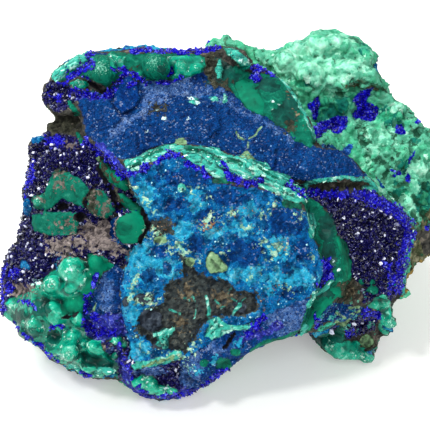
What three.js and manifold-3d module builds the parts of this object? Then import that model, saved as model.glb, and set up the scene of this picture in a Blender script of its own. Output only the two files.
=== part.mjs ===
// Azurite and malachite specimen: one lump of ore matrix with azurite and malachite crusts.
// Millimetres, +Z up, the front towards -Y. The origin is on the surface that the rock rests on.
import * as THREE from "three";
import { mergeVertices } from "three/addons/utils/BufferGeometryUtils.js";
import { ImprovedNoise } from "three/addons/math/ImprovedNoise.js";
import { TessellateModifier } from "three/addons/modifiers/TessellateModifier.js";
import Module from "manifold-3d";

const wasm = await Module();
wasm.setup();

// Driving dimensions
const specimenWidth = 132;
const widthInPixels = 455;
const mm = specimenWidth / widthInPixels;
const viewPitch = THREE.MathUtils.degToRad(30);
const eyeDistance = 600;
const imageCentre = 215;
const middleColumn = 228;
const aimHeight = 45;
const aimForward = 22;
const faceDepth = -18;
const faceLean = 0.11;
const weldDistance = 1e-3;

// The front view looks along +Y and down by the view pitch. Outlines are [column, row] pixels of it.
const rightward = new THREE.Vector3(1, 0, 0);
const inward = new THREE.Vector3(0, Math.cos(viewPitch), -Math.sin(viewPitch));
const upward = new THREE.Vector3(0, Math.sin(viewPitch), Math.cos(viewPitch));
const aim = new THREE.Vector3((imageCentre - middleColumn) * mm, -aimForward, aimHeight);

// A pixel of the front view, at a depth behind the plane that faces the eye through the aim point
function seenAt(column, row, depth) {
  const spread = mm * (1 + depth / eyeDistance);
  return aim.clone()
    .addScaledVector(rightward, (column - imageCentre) * spread)
    .addScaledVector(upward, (imageCentre - row) * spread)
    .addScaledVector(inward, depth);
}

// How far behind that plane the rock's front lies, before anything stands proud of it
const browRow = 165;
const footRow = 350;
const leftBend = 130;
const rightBend = 315;
function frontDepth(column, row) {
  const above = Math.max(0, browRow - row) * mm;
  const below = Math.max(0, row - footRow) * mm;
  const left = Math.max(0, leftBend - column) * mm;
  const right = Math.max(0, column - rightBend) * mm;
  const lean = faceLean * (footRow - THREE.MathUtils.clamp(row, browRow, footRow)) * mm;
  return faceDepth - lean + 0.65 * above + 0.05 * below ** 2 + 0.012 * left ** 2 + 0.025 * right ** 2;
}

// The same for the pale mass behind the right shoulder
const paleDepthAtBrow = 5;
function paleDepth(column, row) {
  const above = Math.max(0, browRow - row) * mm;
  const right = Math.max(0, column - 380) * mm;
  return paleDepthAtBrow + 0.45 * above + 0.02 * right ** 2;
}

// The lumps under the right druse come forward as they rise from the surface below
const lumpFootRow = 362;
const lumpFootDepth = 14;
function lumpDepth(column, row) {
  return lumpFootDepth - 0.9 * (lumpFootRow - row) * mm;
}

// Solids and noise
const noise = new ImprovedNoise();

function noiseAt(point, grain, seed) {
  const { x, y, z } = point;
  return noise.noise(x / grain + seed, y / grain - seed, z / grain + 2 * seed);
}

function roughen(geometry, amount, grain, seed) {
  const positions = geometry.getAttribute("position");
  const point = new THREE.Vector3();
  for (let i = 0; i < positions.count; i++) {
    point.fromBufferAttribute(positions, i);
    const shift = new THREE.Vector3(
      noiseAt(point, grain, seed + 3.7),
      noiseAt(point, grain, seed + 17.1),
      noiseAt(point, grain, seed + 31.9),
    );
    point.addScaledVector(shift, amount);
    positions.setXYZ(i, point.x, point.y, point.z);
  }
  return geometry;
}

function barePositions(geometry) {
  const bare = new THREE.BufferGeometry();
  bare.setAttribute("position", geometry.getAttribute("position"));
  bare.setIndex(geometry.getIndex());
  return mergeVertices(bare, weldDistance);
}

function solidFrom(geometry) {
  const welded = barePositions(geometry);
  const mesh = new wasm.Mesh({
    numProp: 3,
    vertProperties: Float32Array.from(welded.getAttribute("position").array),
    triVerts: Uint32Array.from(welded.getIndex().array),
  });
  mesh.merge();
  return new wasm.Manifold(mesh);
}

function geometryFrom(solid) {
  const mesh = solid.getMesh();
  const geometry = new THREE.BufferGeometry();
  geometry.setAttribute("position", new THREE.BufferAttribute(mesh.vertProperties, 3));
  geometry.setIndex(new THREE.BufferAttribute(mesh.triVerts, 1));
  return geometry;
}

function joinAll(solids) {
  return solids.reduce((sum, solid) => sum.add(solid));
}

// How far a place lies from the nearest edge of an outline
function rimDistance(x, y, corners) {
  const place = new THREE.Vector3(x, y, 0);
  const nearest = new THREE.Vector3();
  let least = Infinity;
  corners.forEach((corner, i) => {
    const edge = new THREE.Line3(corner, corners[(i + 1) % corners.length]);
    least = Math.min(least, edge.closestPointToPoint(place, true, nearest).distanceTo(place));
  });
  return least;
}

// A chunk of rock whose face fills an outline of the front view. Its face rolls back towards the rim,
// and it narrows and swells towards its back.
const swellHeight = 26;
const swellGrain = 19;
function chunk(outline, { front, thickness, roll = 1, narrowing = 0, facet = 10, rough = 0.5, seed = 1 }) {
  const corners = outline.map(([column, row]) => new THREE.Vector3(column * mm, -row * mm, 0));
  const prism = new THREE.ExtrudeGeometry(new THREE.Shape(corners), {
    depth: thickness,
    steps: Math.ceil(thickness / facet),
    bevelEnabled: false,
  });
  const cut = new TessellateModifier(facet, 16).modify(prism);
  const middle = new THREE.Box3().setFromPoints(corners).getCenter(new THREE.Vector3());
  const positions = cut.getAttribute("position");
  for (let i = 0; i < positions.count; i++) {
    const x = positions.getX(i);
    const y = positions.getY(i);
    const share = 1 - positions.getZ(i) / thickness;
    const nearRim = 1 - Math.min(1, rimDistance(x, y, corners) / (1.6 * roll));
    const keep = 1 - narrowing * share ** 2;
    const column = (middle.x + (x - middle.x) * keep) / mm;
    const row = -(middle.y + (y - middle.y) * keep) / mm;
    const behind = share * thickness + roll * nearRim ** 2 * (1 - share);
    const point = seenAt(column, row, front(x / mm, -y / mm) + behind);
    point.addScaledVector(upward, swellHeight * share * narrowing * noiseAt(point, swellGrain, seed));
    positions.setXYZ(i, point.x, point.y, point.z);
  }
  return solidFrom(roughen(cut, rough, 2.2 * facet, seed));
}

// A rounded boulder, its centre and half-sizes in millimetres
function boulder(centre, halfSizes, { detail = 2, rough = 2, grain = 16, seed = 1 } = {}) {
  const geometry = new THREE.IcosahedronGeometry(1, detail);
  geometry.scale(...halfSizes);
  geometry.translate(...centre);
  return solidFrom(roughen(geometry, rough, grain, seed));
}

// A lump or ball that stands on the face at a pixel, its radius in pixels of the front view
function lump(column, row, radius, { front = frontDepth, proud = 0, squash = 1, detail = radius > 15 ? 1 : 0, seed = 0 } = {}) {
  const geometry = new THREE.IcosahedronGeometry(radius * mm, detail);
  geometry.rotateX(seed * 1.3);
  geometry.rotateZ(seed * 2.1);
  geometry.scale(1, squash, 1);
  const centre = seenAt(column, row, front(column, row) - proud);
  geometry.translate(centre.x, centre.y, centre.z);
  return solidFrom(roughen(geometry, 0.12 * radius * mm, 1.5 * radius * mm, seed));
}

// One crystal: a short blade with a pointed tip, leaning out of the face towards the eye
function crystal(column, row, size, { front, proud, seed }) {
  const blade = new THREE.ConeGeometry(0.62 * size, 1.9 * size, 4, 1);
  blade.scale(1, 1, 0.6);
  const tilt = (k) => (THREE.MathUtils.seededRandom(seed * 7 + k) - 0.5) * 1.7;
  blade.rotateY(tilt(1) * 3);
  blade.rotateX(-Math.PI / 2 + tilt(2));
  blade.rotateZ(tilt(3));
  const out = new THREE.Quaternion().setFromUnitVectors(
    new THREE.Vector3(0, 0, -1),
    inward.clone().negate().lerp(upward, 0.25).normalize(),
  );
  blade.applyQuaternion(out);
  const centre = seenAt(column, row, front(column, row) - proud);
  blade.translate(centre.x, centre.y, centre.z);
  return solidFrom(blade);
}

function insideOutline(column, row, outline) {
  let inside = false;
  outline.forEach(([x1, y1], i) => {
    const [x2, y2] = outline[(i + 1) % outline.length];
    const crosses = y1 > row !== y2 > row && column < ((x2 - x1) * (row - y1)) / (y2 - y1) + x1;
    if (crosses) inside = !inside;
  });
  return inside;
}

// Crystals at even spacing inside an outline, each pushed off its place by a little
function crystalField(outline, { spacing, size, front, proud, seed }) {
  const box = new THREE.Box2().setFromPoints(outline.map(([x, y]) => new THREE.Vector2(x, y)));
  const crystals = [];
  let count = 0;
  for (let row = box.min.y; row < box.max.y; row += spacing) {
    for (let column = box.min.x; column < box.max.x; column += spacing) {
      count += 1;
      const nudge = (k) => (THREE.MathUtils.seededRandom(seed + count * 3 + k) - 0.5) * 0.8 * spacing;
      const x = column + nudge(1);
      const y = row + nudge(2);
      if (!insideOutline(x, y, outline)) continue;
      const grown = size * (0.75 + 0.5 * THREE.MathUtils.seededRandom(seed + count));
      crystals.push(crystal(x, y, grown, { front, proud, seed: seed + count }));
    }
  }
  return crystals;
}

// Crystals in a row along an edge
function crystalEdge(route, { spacing, size, front, proud, seed }) {
  const curve = new THREE.CatmullRomCurve3(route.map(([x, y]) => new THREE.Vector3(x, y, 0)));
  const places = Math.round(curve.getLength() / spacing);
  return curve.getSpacedPoints(places).map((place, i) => {
    const nudge = (THREE.MathUtils.seededRandom(seed + i) - 0.5) * spacing;
    return crystal(place.x, place.y + nudge, size, { front, proud, seed: seed + 5 * i });
  });
}

const proudOf = (depthAt, proud) => (column, row) => depthAt(column, row) - proud;

// Main body: the whole front outline, and the boulders that carry it from behind
const frontOutline = [
  [50, 78], [60, 68], [75, 58], [88, 53], [105, 52], [120, 49], [133, 47], [150, 48], [190, 49], [205, 46],
  [222, 45], [240, 49], [250, 62], [265, 68], [281, 76], [295, 98], [308, 118], [316, 140], [335, 150],
  [352, 158], [366, 177], [383, 191], [397, 204], [414, 225], [416, 237], [410, 252], [405, 270], [404, 290],
  [394, 306], [370, 318], [340, 322], [318, 332], [303, 332], [292, 338], [274, 341], [258, 348], [244, 355],
  [225, 371], [205, 386], [185, 396], [163, 403], [145, 400], [131, 392], [118, 378], [95, 379], [70, 369],
  [52, 361], [44, 349], [20, 337], [1, 321], [0, 280], [5, 256], [17, 241], [18, 215], [23, 180], [27, 155],
  [32, 138], [47, 128], [56, 115], [45, 105], [43, 95],
];

function mainBody() {
  const face = chunk(frontOutline, {
    front: proudOf(frontDepth, -8), thickness: 38, narrowing: 0.42, roll: 1.5, facet: 18.5, rough: 3, seed: 4,
  });
  const heart = boulder([-4, -5, 38], [44, 27, 38], { seed: 9, rough: 6, grain: 20 });
  const foot = boulder([4, 2, 8], [42, 20, 15], { seed: 21, rough: 4 });
  const leftBack = boulder([-34, -10, 42], [25, 21, 26], { seed: 33, rough: 5 });
  const rightBack = boulder([20, 18, 26], [25, 21, 28], { seed: 37, rough: 5 });
  return [face, heart, foot, leftBack, rightBack];
}

// Dark blue band across the shoulder, a crust that stands on the body
const bandOutline = [
  [75, 92], [88, 84], [103, 84], [118, 82], [135, 72], [150, 75], [175, 75], [200, 80], [218, 90], [245, 107],
  [270, 122], [295, 141], [320, 148], [338, 150], [353, 159], [366, 177], [350, 182], [330, 181], [310, 184],
  [285, 178], [260, 170], [235, 162], [205, 156], [165, 158], [135, 178], [124, 175], [113, 162], [98, 150],
  [86, 139], [82, 120],
];

function blueBand() {
  return [chunk(bandOutline, { front: proudOf(frontDepth, 0.5), thickness: 11, facet: 15, rough: 0.9, seed: 12 })];
}

// The bright azure plate, the thickest crust, broken along its top
const azureOutline = [
  [127, 177], [140, 169], [155, 162], [186, 156], [202, 155], [216, 161], [232, 170], [250, 176], [268, 185],
  [285, 193], [300, 201], [308, 211], [312, 230], [318, 246], [326, 262], [322, 283], [311, 305], [304, 330],
  [292, 338], [274, 341], [258, 348], [244, 355], [222, 362], [190, 360], [160, 372], [140, 369], [131, 355],
  [126, 335], [121, 310], [119, 290], [127, 262], [140, 242], [147, 225], [142, 205], [133, 190],
];

function azurePlate() {
  return [chunk(azureOutline, { front: proudOf(frontDepth, 4), thickness: 15, facet: 16.5, rough: 1.2, seed: 7 })];
}

// The broken malachite edge between band and plate
const veinOutline = [
  [123, 163], [140, 159], [150, 157], [165, 149], [185, 145], [203, 146], [222, 153], [240, 158], [258, 166],
  [275, 175], [290, 184], [304, 192], [306, 203], [298, 204], [285, 197], [268, 189], [250, 181], [232, 175],
  [215, 165], [200, 158], [186, 159], [172, 162], [155, 165], [140, 172], [128, 176],
];

function malachiteVein() {
  return [chunk(veinOutline, {
    front: proudOf(frontDepth, 5), thickness: 13, roll: 0.5, facet: 14, rough: 0.8, seed: 18,
  })];
}

// The row of malachite balls and the ridge along the top
const ridgeOutline = [
  [50, 78], [60, 68], [75, 58], [88, 53], [105, 52], [133, 48], [170, 49], [200, 47], [222, 46], [240, 49],
  [248, 56], [250, 68], [236, 74], [224, 92], [208, 94], [196, 82], [172, 80], [150, 80], [135, 76], [118, 86],
  [96, 86], [78, 93], [66, 88], [55, 84],
];
const violetLobeOutline = [
  [42, 97], [45, 86], [55, 80], [68, 84], [78, 94], [80, 108], [70, 116], [58, 114], [46, 107],
];
const topBalls = [
  [102, 70, 13], [79, 83, 8], [155, 66, 13], [178, 64, 10], [196, 68, 8], [240, 60, 9],
];

function topRidge() {
  const ridge = chunk(ridgeOutline, { front: proudOf(frontDepth, 1), thickness: 11, facet: 11, rough: 0.8, seed: 25 });
  const lobe = chunk(violetLobeOutline, { front: proudOf(frontDepth, 1), thickness: 10, facet: 11, rough: 0.6, seed: 28 });
  const balls = topBalls.map(([x, y, r], i) => lump(x, y, r, { proud: 0.4 * r * mm, seed: i }));
  return [ridge, lobe, ...balls];
}

// The smooth green slab beside the band
const slabOutline = [
  [226, 72], [238, 68], [252, 64], [266, 69], [281, 77], [295, 98], [308, 118], [316, 141], [300, 146],
  [270, 128], [245, 112], [220, 96],
];

function greenSlab() {
  return [chunk(slabOutline, { front: proudOf(frontDepth, -1), thickness: 12, facet: 14, rough: 0.5, seed: 31 })];
}

// The left druse lies back from the rest. Plates of malachite and a ledge of matrix cross it.
const drusePlates = [
  [[48, 178], [60, 170], [78, 176], [92, 186], [90, 200], [76, 208], [58, 204], [46, 210], [36, 200]],
  [[32, 213], [60, 210], [79, 216], [77, 230], [58, 236], [36, 232]],
  [[88, 192], [104, 188], [114, 204], [104, 218], [88, 210]],
];
const ledgeOutline = [
  [40, 240], [60, 235], [100, 233], [122, 240], [130, 252], [122, 264], [95, 259], [62, 259], [42, 263],
];
const leafOutline = [[112, 168], [120, 172], [132, 190], [142, 206], [142, 217], [130, 214], [116, 200], [112, 186]];

function leftSide() {
  const plates = drusePlates.map((outline, i) => chunk(outline, {
    front: proudOf(frontDepth, -6), thickness: 6, roll: 0.6, rough: 0.5, seed: 40 + i,
  }));
  const ledge = chunk(ledgeOutline, { front: proudOf(frontDepth, -3), thickness: 8, rough: 0.8, seed: 44 });
  const leaf = chunk(leafOutline, { front: proudOf(frontDepth, -4.5), thickness: 8, rough: 0.4, seed: 46 });
  const ball = lump(131, 227, 16, { proud: -3, seed: 5 });
  return [...plates, ledge, leaf, ball];
}

// Lower left: a violet lobe, grape-like malachite and blue velvet lobes
const farLobeOutline = [
  [1, 321], [0, 280], [5, 256], [17, 241], [38, 240], [50, 255], [45, 272], [30, 288], [16, 302], [12, 326],
];
const grapeOutline = [
  [17, 302], [30, 286], [45, 271], [60, 262], [78, 256], [100, 255], [114, 262], [110, 285], [97, 300],
  [90, 315], [94, 335], [112, 345], [118, 360], [105, 375], [90, 378], [70, 368], [52, 360], [44, 349], [20, 336],
];
const grapes = [
  [70, 271, 14], [86, 276, 11], [52, 286, 13], [70, 291, 13], [36, 288, 11], [55, 313, 14], [37, 308, 12],
  [34, 327, 12], [78, 319, 9], [70, 350, 14], [52, 346, 12], [95, 348, 10], [112, 345, 9], [100, 268, 10],
  [88, 366, 11], [106, 366, 10],
];
const blueLobeOutline = [
  [98, 270], [112, 262], [126, 270], [131, 290], [126, 320], [131, 345], [118, 350], [101, 338], [89, 318],
  [90, 298],
];
const bottomOutline = [
  [118, 346], [135, 350], [150, 362], [182, 362], [202, 350], [232, 350], [246, 355], [225, 371], [205, 386],
  [185, 396], [163, 403], [145, 400], [131, 392], [119, 378],
];
const bottomLumps = [
  [140, 384, 12], [160, 391, 11], [178, 384, 10], [201, 368, 15], [218, 356, 12], [129, 364, 11],
];

function lowerLeft() {
  const farLobe = chunk(farLobeOutline, {
    front: proudOf(frontDepth, -2), thickness: 13, narrowing: 0.3, roll: 3, facet: 14, rough: 1, seed: 50,
  });
  const grapeBed = chunk(grapeOutline, { front: proudOf(frontDepth, 0), thickness: 11, roll: 3, facet: 12, rough: 1, seed: 52 });
  const blueLobe = chunk(blueLobeOutline, { front: proudOf(frontDepth, 3), thickness: 13, roll: 4.5, facet: 10, seed: 54 });
  const bottom = chunk(bottomOutline, { front: proudOf(frontDepth, 2), thickness: 22, roll: 3, facet: 15, rough: 1, seed: 56 });
  const balls = grapes.map(([x, y, r], i) => lump(x, y, r, { proud: 1 - 0.25 * r * mm, seed: i + 0.5 }));
  const feet = bottomLumps.map(([x, y, r], i) => lump(x, y, r, { proud: 0.8, seed: i + 0.2 }));
  return [farLobe, grapeBed, blueLobe, bottom, ...balls, ...feet];
}

// Right: the curved green wall, the druse that it frames and the lumps under them
const wallOutline = [
  [303, 197], [316, 199], [328, 206], [335, 222], [343, 245], [349, 262], [347, 290], [329, 311], [306, 331],
  [302, 318], [317, 300], [326, 280], [326, 262], [318, 244], [311, 222],
];
const druseOutline = [
  [300, 193], [320, 194], [345, 190], [370, 193], [396, 205], [414, 225], [416, 237], [410, 252], [405, 270],
  [404, 290], [394, 306], [380, 298], [365, 287], [347, 273], [348, 258], [340, 243], [333, 220], [326, 206],
];
const lumpOutline = [
  [308, 306], [330, 293], [345, 286], [362, 288], [380, 296], [393, 306], [394, 325], [391, 333], [381, 335],
  [378, 347], [378, 362], [345, 362], [330, 355], [316, 342], [303, 331],
];
const rightLumps = [
  [322, 330, 12], [338, 345, 13], [356, 350, 12], [369, 352, 9], [385, 318, 11], [372, 332, 10], [346, 326, 12],
  [330, 312, 10],
];
const druseHollow = { centre: [372, 240], reach: 38, hollow: 4 };

function druseDepth(column, row) {
  const { centre, reach, hollow } = druseHollow;
  const off = Math.hypot(column - centre[0], row - centre[1]) / reach;
  return frontDepth(column, row) + 5 + hollow * Math.max(0, 1 - off * off);
}

function rightSide() {
  const wall = chunk(wallOutline, { front: proudOf(frontDepth, -1), thickness: 11, roll: 1, facet: 12, rough: 0.5, seed: 61 });
  const druse = chunk(druseOutline, { front: druseDepth, thickness: 12, narrowing: 0.2, facet: 10, rough: 0.8, seed: 63 });
  const bed = chunk(lumpOutline, { front: lumpDepth, thickness: 22, narrowing: 0.25, roll: 4, facet: 16, rough: 1.4, seed: 65 });
  const lumps = rightLumps.map(([x, y, r], i) => lump(x, y, r, { front: lumpDepth, proud: 0.6, seed: i + 0.7 }));
  return [wall, druse, bed, ...lumps];
}

// The pale rough mass behind the right shoulder
const paleOutline = [
  [195, 43], [200, 36], [215, 36], [226, 33], [238, 40], [258, 47], [275, 50], [286, 43], [309, 35], [311, 29],
  [341, 29], [344, 37], [358, 37], [378, 50], [374, 63], [386, 80], [384, 88], [400, 100], [411, 108], [418, 124],
  [429, 131], [440, 142], [449, 165], [455, 195], [453, 225], [444, 246], [430, 262], [418, 274], [408, 290],
  [395, 305], [370, 300], [330, 260], [290, 200], [240, 130], [205, 75],
];
const browOutline = [
  [262, 56], [275, 50], [286, 43], [309, 35], [311, 29], [341, 29], [344, 37], [358, 37], [378, 50], [374, 63],
  [386, 80], [382, 88], [355, 84], [330, 92], [310, 96], [292, 92], [280, 78],
];
const paleLumps = [
  [212, 42, 10], [238, 47, 9], [262, 55, 10], [290, 62, 15], [316, 48, 15], [342, 46, 14], [364, 54, 12],
  [370, 74, 12], [344, 73, 15], [314, 76, 16], [397, 112, 13], [412, 130, 11], [388, 136, 12],
  [427, 152, 14], [400, 156, 13], [376, 162, 11], [442, 178, 14], [414, 184, 14], [390, 190, 11], [436, 208, 15],
  [412, 214, 10], [404, 296, 7],
];
const vugPockets = [[330, 112, 22], [364, 106, 19]];

function paleMass() {
  const mass = chunk(paleOutline, {
    front: paleDepth, thickness: 30, narrowing: 0.45, roll: 2.5, facet: 21, rough: 2.8, seed: 71,
  });
  const brow = chunk(browOutline, {
    front: proudOf(paleDepth, 5), thickness: 18, narrowing: 0.2, roll: 2.5, facet: 12.5, rough: 1.2, seed: 73,
  });
  const core = boulder([28, 24, 49], [24, 20, 24], { seed: 75, rough: 5 });
  const lumps = paleLumps.map(([x, y, r], i) => {
    const onBrow = insideOutline(x, y, browOutline);
    return lump(x, y, r, { front: paleDepth, proud: onBrow ? 4.5 : -0.3 * r * mm, squash: 0.9, seed: i + 0.3 });
  });
  return [mass, brow, core, ...lumps];
}

// Hollows cut into the finished rock
function hollows() {
  const pockets = vugPockets.map(([x, y, r], i) => lump(x, y, r, { front: paleDepth, squash: 0.8, seed: 8 + i }));
  const almond = lump(219, 67, 6, { proud: 1.5, squash: 1.4, seed: 3 });
  const pit = lump(55, 338, 6, { proud: 2, seed: 2 });
  const gallery = lump(352, 183, 9, { proud: -1, squash: 0.5, seed: 6 });
  return [...pockets, almond, pit, gallery];
}

// Crystals with flat faces in the druses and along their rims
const leftDruseOutline = [
  [30, 146], [38, 137], [52, 130], [78, 137], [96, 153], [108, 166], [112, 184], [86, 186], [62, 168], [40, 184],
  [30, 205], [22, 236], [20, 215], [25, 180],
];
const rimRoutes = [
  [[46, 104], [44, 90], [56, 82], [72, 90]],
  [[108, 51], [133, 47], [170, 48], [205, 45], [236, 48]],
  [[84, 138], [98, 150], [112, 164], [126, 176]],
  [[134, 170], [165, 160], [200, 154], [232, 171], [268, 186], [296, 200]],
];

function druseCrystals() {
  const left = crystalField(leftDruseOutline, {
    spacing: 23, size: 3, front: proudOf(frontDepth, -8), proud: 1, seed: 101,
  });
  const farLeft = crystalField(farLobeOutline, {
    spacing: 24, size: 3, front: proudOf(frontDepth, -2), proud: 0.8, seed: 301,
  });
  const right = crystalField(druseOutline, { spacing: 20, size: 3.2, front: druseDepth, proud: 1, seed: 501 });
  const rims = rimRoutes.flatMap((route, i) => crystalEdge(route, {
    spacing: 18, size: 1.8, front: proudOf(frontDepth, i === 3 ? 4 : 0.5), proud: 0.3, seed: 701 + 50 * i,
  }));
  const rightRim = crystalEdge([[302, 194], [345, 190], [372, 194], [396, 206], [414, 226]], {
    spacing: 14, size: 2.3, front: proudOf(frontDepth, -4.5), proud: 0.5, seed: 990,
  });
  return [...left, ...farLeft, ...right, ...rims, ...rightRim];
}

// Everything below the resting plane is cut away, so the rock stands on flat feet
function groundBlock() {
  const block = new THREE.BoxGeometry(400, 400, 100);
  block.translate(0, 0, -50);
  return solidFrom(block);
}

function wholeRock() {
  const grown = joinAll([
    ...mainBody(), ...blueBand(), ...azurePlate(), ...malachiteVein(), ...topRidge(), ...greenSlab(),
    ...leftSide(), ...lowerLeft(), ...rightSide(), ...paleMass(),
  ]);
  const hollowed = hollows().reduce((rock, hollow) => rock.subtract(hollow), grown);
  const crusted = joinAll([hollowed, ...druseCrystals()]);
  const standing = crusted.subtract(groundBlock());
  return standing.decompose().reduce((most, piece) => (piece.volume() > most.volume() ? piece : most));
}

const rockMaterial = new THREE.MeshStandardMaterial({ color: 0x1d4f7a, roughness: 0.55, metalness: 0 });
const rock = new THREE.Mesh(geometryFrom(wholeRock()), rockMaterial);
rock.name = "azurite_malachite_rock";

const specimen = new THREE.Group();
specimen.add(rock);

export default specimen;
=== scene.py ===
import math

import bpy
import numpy as np
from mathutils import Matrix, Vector, noise


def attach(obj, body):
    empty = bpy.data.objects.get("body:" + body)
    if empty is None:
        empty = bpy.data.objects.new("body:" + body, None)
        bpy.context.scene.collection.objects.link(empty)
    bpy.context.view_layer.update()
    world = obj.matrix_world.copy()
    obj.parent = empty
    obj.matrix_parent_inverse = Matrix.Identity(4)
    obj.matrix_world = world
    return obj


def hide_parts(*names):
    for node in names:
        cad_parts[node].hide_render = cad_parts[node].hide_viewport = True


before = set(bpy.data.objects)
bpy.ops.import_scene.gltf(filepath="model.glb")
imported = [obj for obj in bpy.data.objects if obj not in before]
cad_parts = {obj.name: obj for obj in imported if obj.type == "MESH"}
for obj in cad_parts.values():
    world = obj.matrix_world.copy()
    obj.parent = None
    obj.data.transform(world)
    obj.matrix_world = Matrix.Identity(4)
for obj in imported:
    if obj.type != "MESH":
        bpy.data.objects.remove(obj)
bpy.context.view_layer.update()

bpy.ops.object.select_all(action="DESELECT")
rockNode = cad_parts["azurite_malachite_rock"]
scene = bpy.context.scene

# the photograph's view: every outline, spot and line below is in its pixels
view = {
    "pitch": 30,
    "eye": 600.0,        # mm from the eye to the aim point
    "pixel": 132 / 455,  # mm a pixel at the aim point: the rock's width in mm and in pixels
    "aim": (-13 * 132 / 455, -22.0, 45.0),
    "centre": 215,
    "sensor": 36,
}
pitch = math.radians(view["pitch"])
inward = np.array((0, math.cos(pitch), -math.sin(pitch)))
upward = np.array((0, math.sin(pitch), math.cos(pitch)))
aim = np.array(view["aim"])
pixel = view["pixel"]
eye = Vector((aim - inward * view["eye"]) / 1000)


def toPhoto(points):
    off = points * 1000 - aim
    depth = off @ inward
    spread = pixel * (1 + depth / view["eye"])
    return view["centre"] + off[:, 0] / spread, view["centre"] - off @ upward / spread, depth


def fromPhoto(column, row, depth):
    column, row, depth = (np.asarray(a, float) for a in (column, row, depth))
    spread = pixel * (1 + depth / view["eye"])
    across = ((column - view["centre"]) * spread)[..., None] * np.array((1, 0, 0))
    up = ((view["centre"] - row) * spread)[..., None] * upward
    return (aim + across + up + depth[..., None] * inward) / 1000


# how deep the front, the pale mass and the lower lumps lie behind the aim plane, in mm: each leans, and
# bends away past these columns and rows
front = {
    "depth": -18, "top": 165, "foot": 350, "left": 130, "right": 315,
    "lean": 0.11, "roof": 0.65, "footBend": 0.05, "leftBend": 0.012, "rightBend": 0.025,
}
paleMass = {"depth": 5, "top": 165, "right": 380, "roof": 0.45, "rightBend": 0.02}
lowerLump = {"depth": 14, "foot": 362, "lean": 0.9}


def past(distance):
    return np.maximum(0, distance) * pixel


def frontDepth(column, row):
    lean = front["lean"] * (front["foot"] - np.clip(row, front["top"], front["foot"])) * pixel
    depth = front["depth"] - lean + front["roof"] * past(front["top"] - row)
    depth = depth + front["footBend"] * past(row - front["foot"]) ** 2
    depth = depth + front["leftBend"] * past(front["left"] - column) ** 2
    return depth + front["rightBend"] * past(column - front["right"]) ** 2


def paleDepth(column, row):
    bend = paleMass["rightBend"] * past(column - paleMass["right"]) ** 2
    return paleMass["depth"] + paleMass["roof"] * past(paleMass["top"] - row) + bend


def lumpDepth(column, row):
    return lowerLump["depth"] - lowerLump["lean"] * (lowerLump["foot"] - row) * pixel


# camera, light and floor
stage = {
    "key": {"place": (-0.35, 0.10, 0.85), "size": 0.50, "power": 9.0, "colour": (1.0, 0.985, 0.96)},
    "front": {"place": (0.30, -0.95, 0.70), "size": 0.70, "power": 7.0, "colour": (0.96, 0.98, 1.0)},
    "spark": {"place": (-0.45, -0.50, 0.80), "size": 0.16, "power": 5.0, "colour": (1, 1, 1)},
    "lampsLookAt": (0, 0, 0.04),
    "world": 0.55, "worldTone": (1.0, 0.99, 0.97, 1),
    "floorSize": 6, "floorTone": (0.78, 0.78, 0.76, 1), "floorRough": 0.5,
    "floorGlow": 0.31, "glowTone": (1, 1, 0.97, 1),
}


def addCamera():
    bpy.ops.object.camera_add(location=eye, rotation=(math.radians(90) - pitch, 0, 0))
    camera = bpy.context.object
    camera.name = "photoCamera"
    camera.data.sensor_width = view["sensor"]
    camera.data.lens = view["sensor"] / 2 * view["eye"] / (view["centre"] * pixel)
    camera.data.clip_start = 0.02
    scene.camera = camera


def addLight(name, place, size, power, colour):
    bpy.ops.object.light_add(type="AREA", location=place)
    light = bpy.context.object
    light.name = name + "Lamp"
    light.data.shape = "DISK"
    light.data.size = size
    light.data.energy = power
    light.data.color = colour
    aimed = Vector(stage["lampsLookAt"]) - Vector(place)
    light.rotation_euler = aimed.to_track_quat("-Z", "Y").to_euler()


def addFloor():
    bpy.ops.mesh.primitive_plane_add(size=stage["floorSize"], location=(0, 0, 0))
    floor = bpy.context.object
    floor.name = "paleFloor"
    paper = bpy.data.materials.new("palePaper")
    paper.use_nodes = True
    shader = paper.node_tree.nodes["Principled BSDF"]
    shader.inputs["Base Color"].default_value = stage["floorTone"]
    shader.inputs["Roughness"].default_value = stage["floorRough"]
    shader.inputs["Emission Color"].default_value = stage["glowTone"]
    shader.inputs["Emission Strength"].default_value = stage["floorGlow"]
    floor.data.materials.append(paper)


addCamera()
for lamp in ("key", "front", "spark"):
    addLight(lamp, **stage[lamp])
world = bpy.data.worlds.new("paleRoom")
scene.world = world
world.use_nodes = True
world.node_tree.nodes["Background"].inputs["Color"].default_value = stage["worldTone"]
world.node_tree.nodes["Background"].inputs["Strength"].default_value = stage["world"]
scene.view_settings.view_transform = "Standard"
addFloor()
bpy.ops.object.select_all(action="DESELECT")
print("camera, light and floor are in place")


# node helpers
def rgb(tone):
    parts = [int(tone[i:i + 2], 16) / 255 for i in (0, 2, 4)]
    return tuple(c / 12.92 if c <= 0.04045 else ((c + 0.055) / 1.055) ** 2.4 for c in parts) + (1.0,)


def feed(tree, sockets, values):
    for name, value in values.items():
        if isinstance(value, bpy.types.NodeSocket):
            tree.links.new(value, sockets[name])
        else:
            sockets[name].default_value = value


def addNode(tree, kind, inputs=None, **settings):
    made = tree.nodes.new(kind)
    for name, value in settings.items():
        setattr(made, name, value)
    feed(tree, made.inputs, inputs or {})
    return made


def addGroup(tree, group, inputs):
    made = tree.nodes.new("ShaderNodeGroup")
    made.node_tree = group
    feed(tree, made.inputs, inputs)
    return made.outputs


def mathNode(tree, operation, first, second=0.0):
    return addNode(tree, "ShaderNodeMath", {0: first, 1: second}, operation=operation).outputs[0]


def times(tree, first, second):
    return mathNode(tree, "MULTIPLY", first, second)


def mixColour(tree, factor, first, second, blend="MIX"):
    made = addNode(tree, "ShaderNodeMix", data_type="RGBA", blend_type=blend)
    feed(tree, made.inputs, {0: factor, 6: first, 7: second})
    return made.outputs[2]


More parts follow.
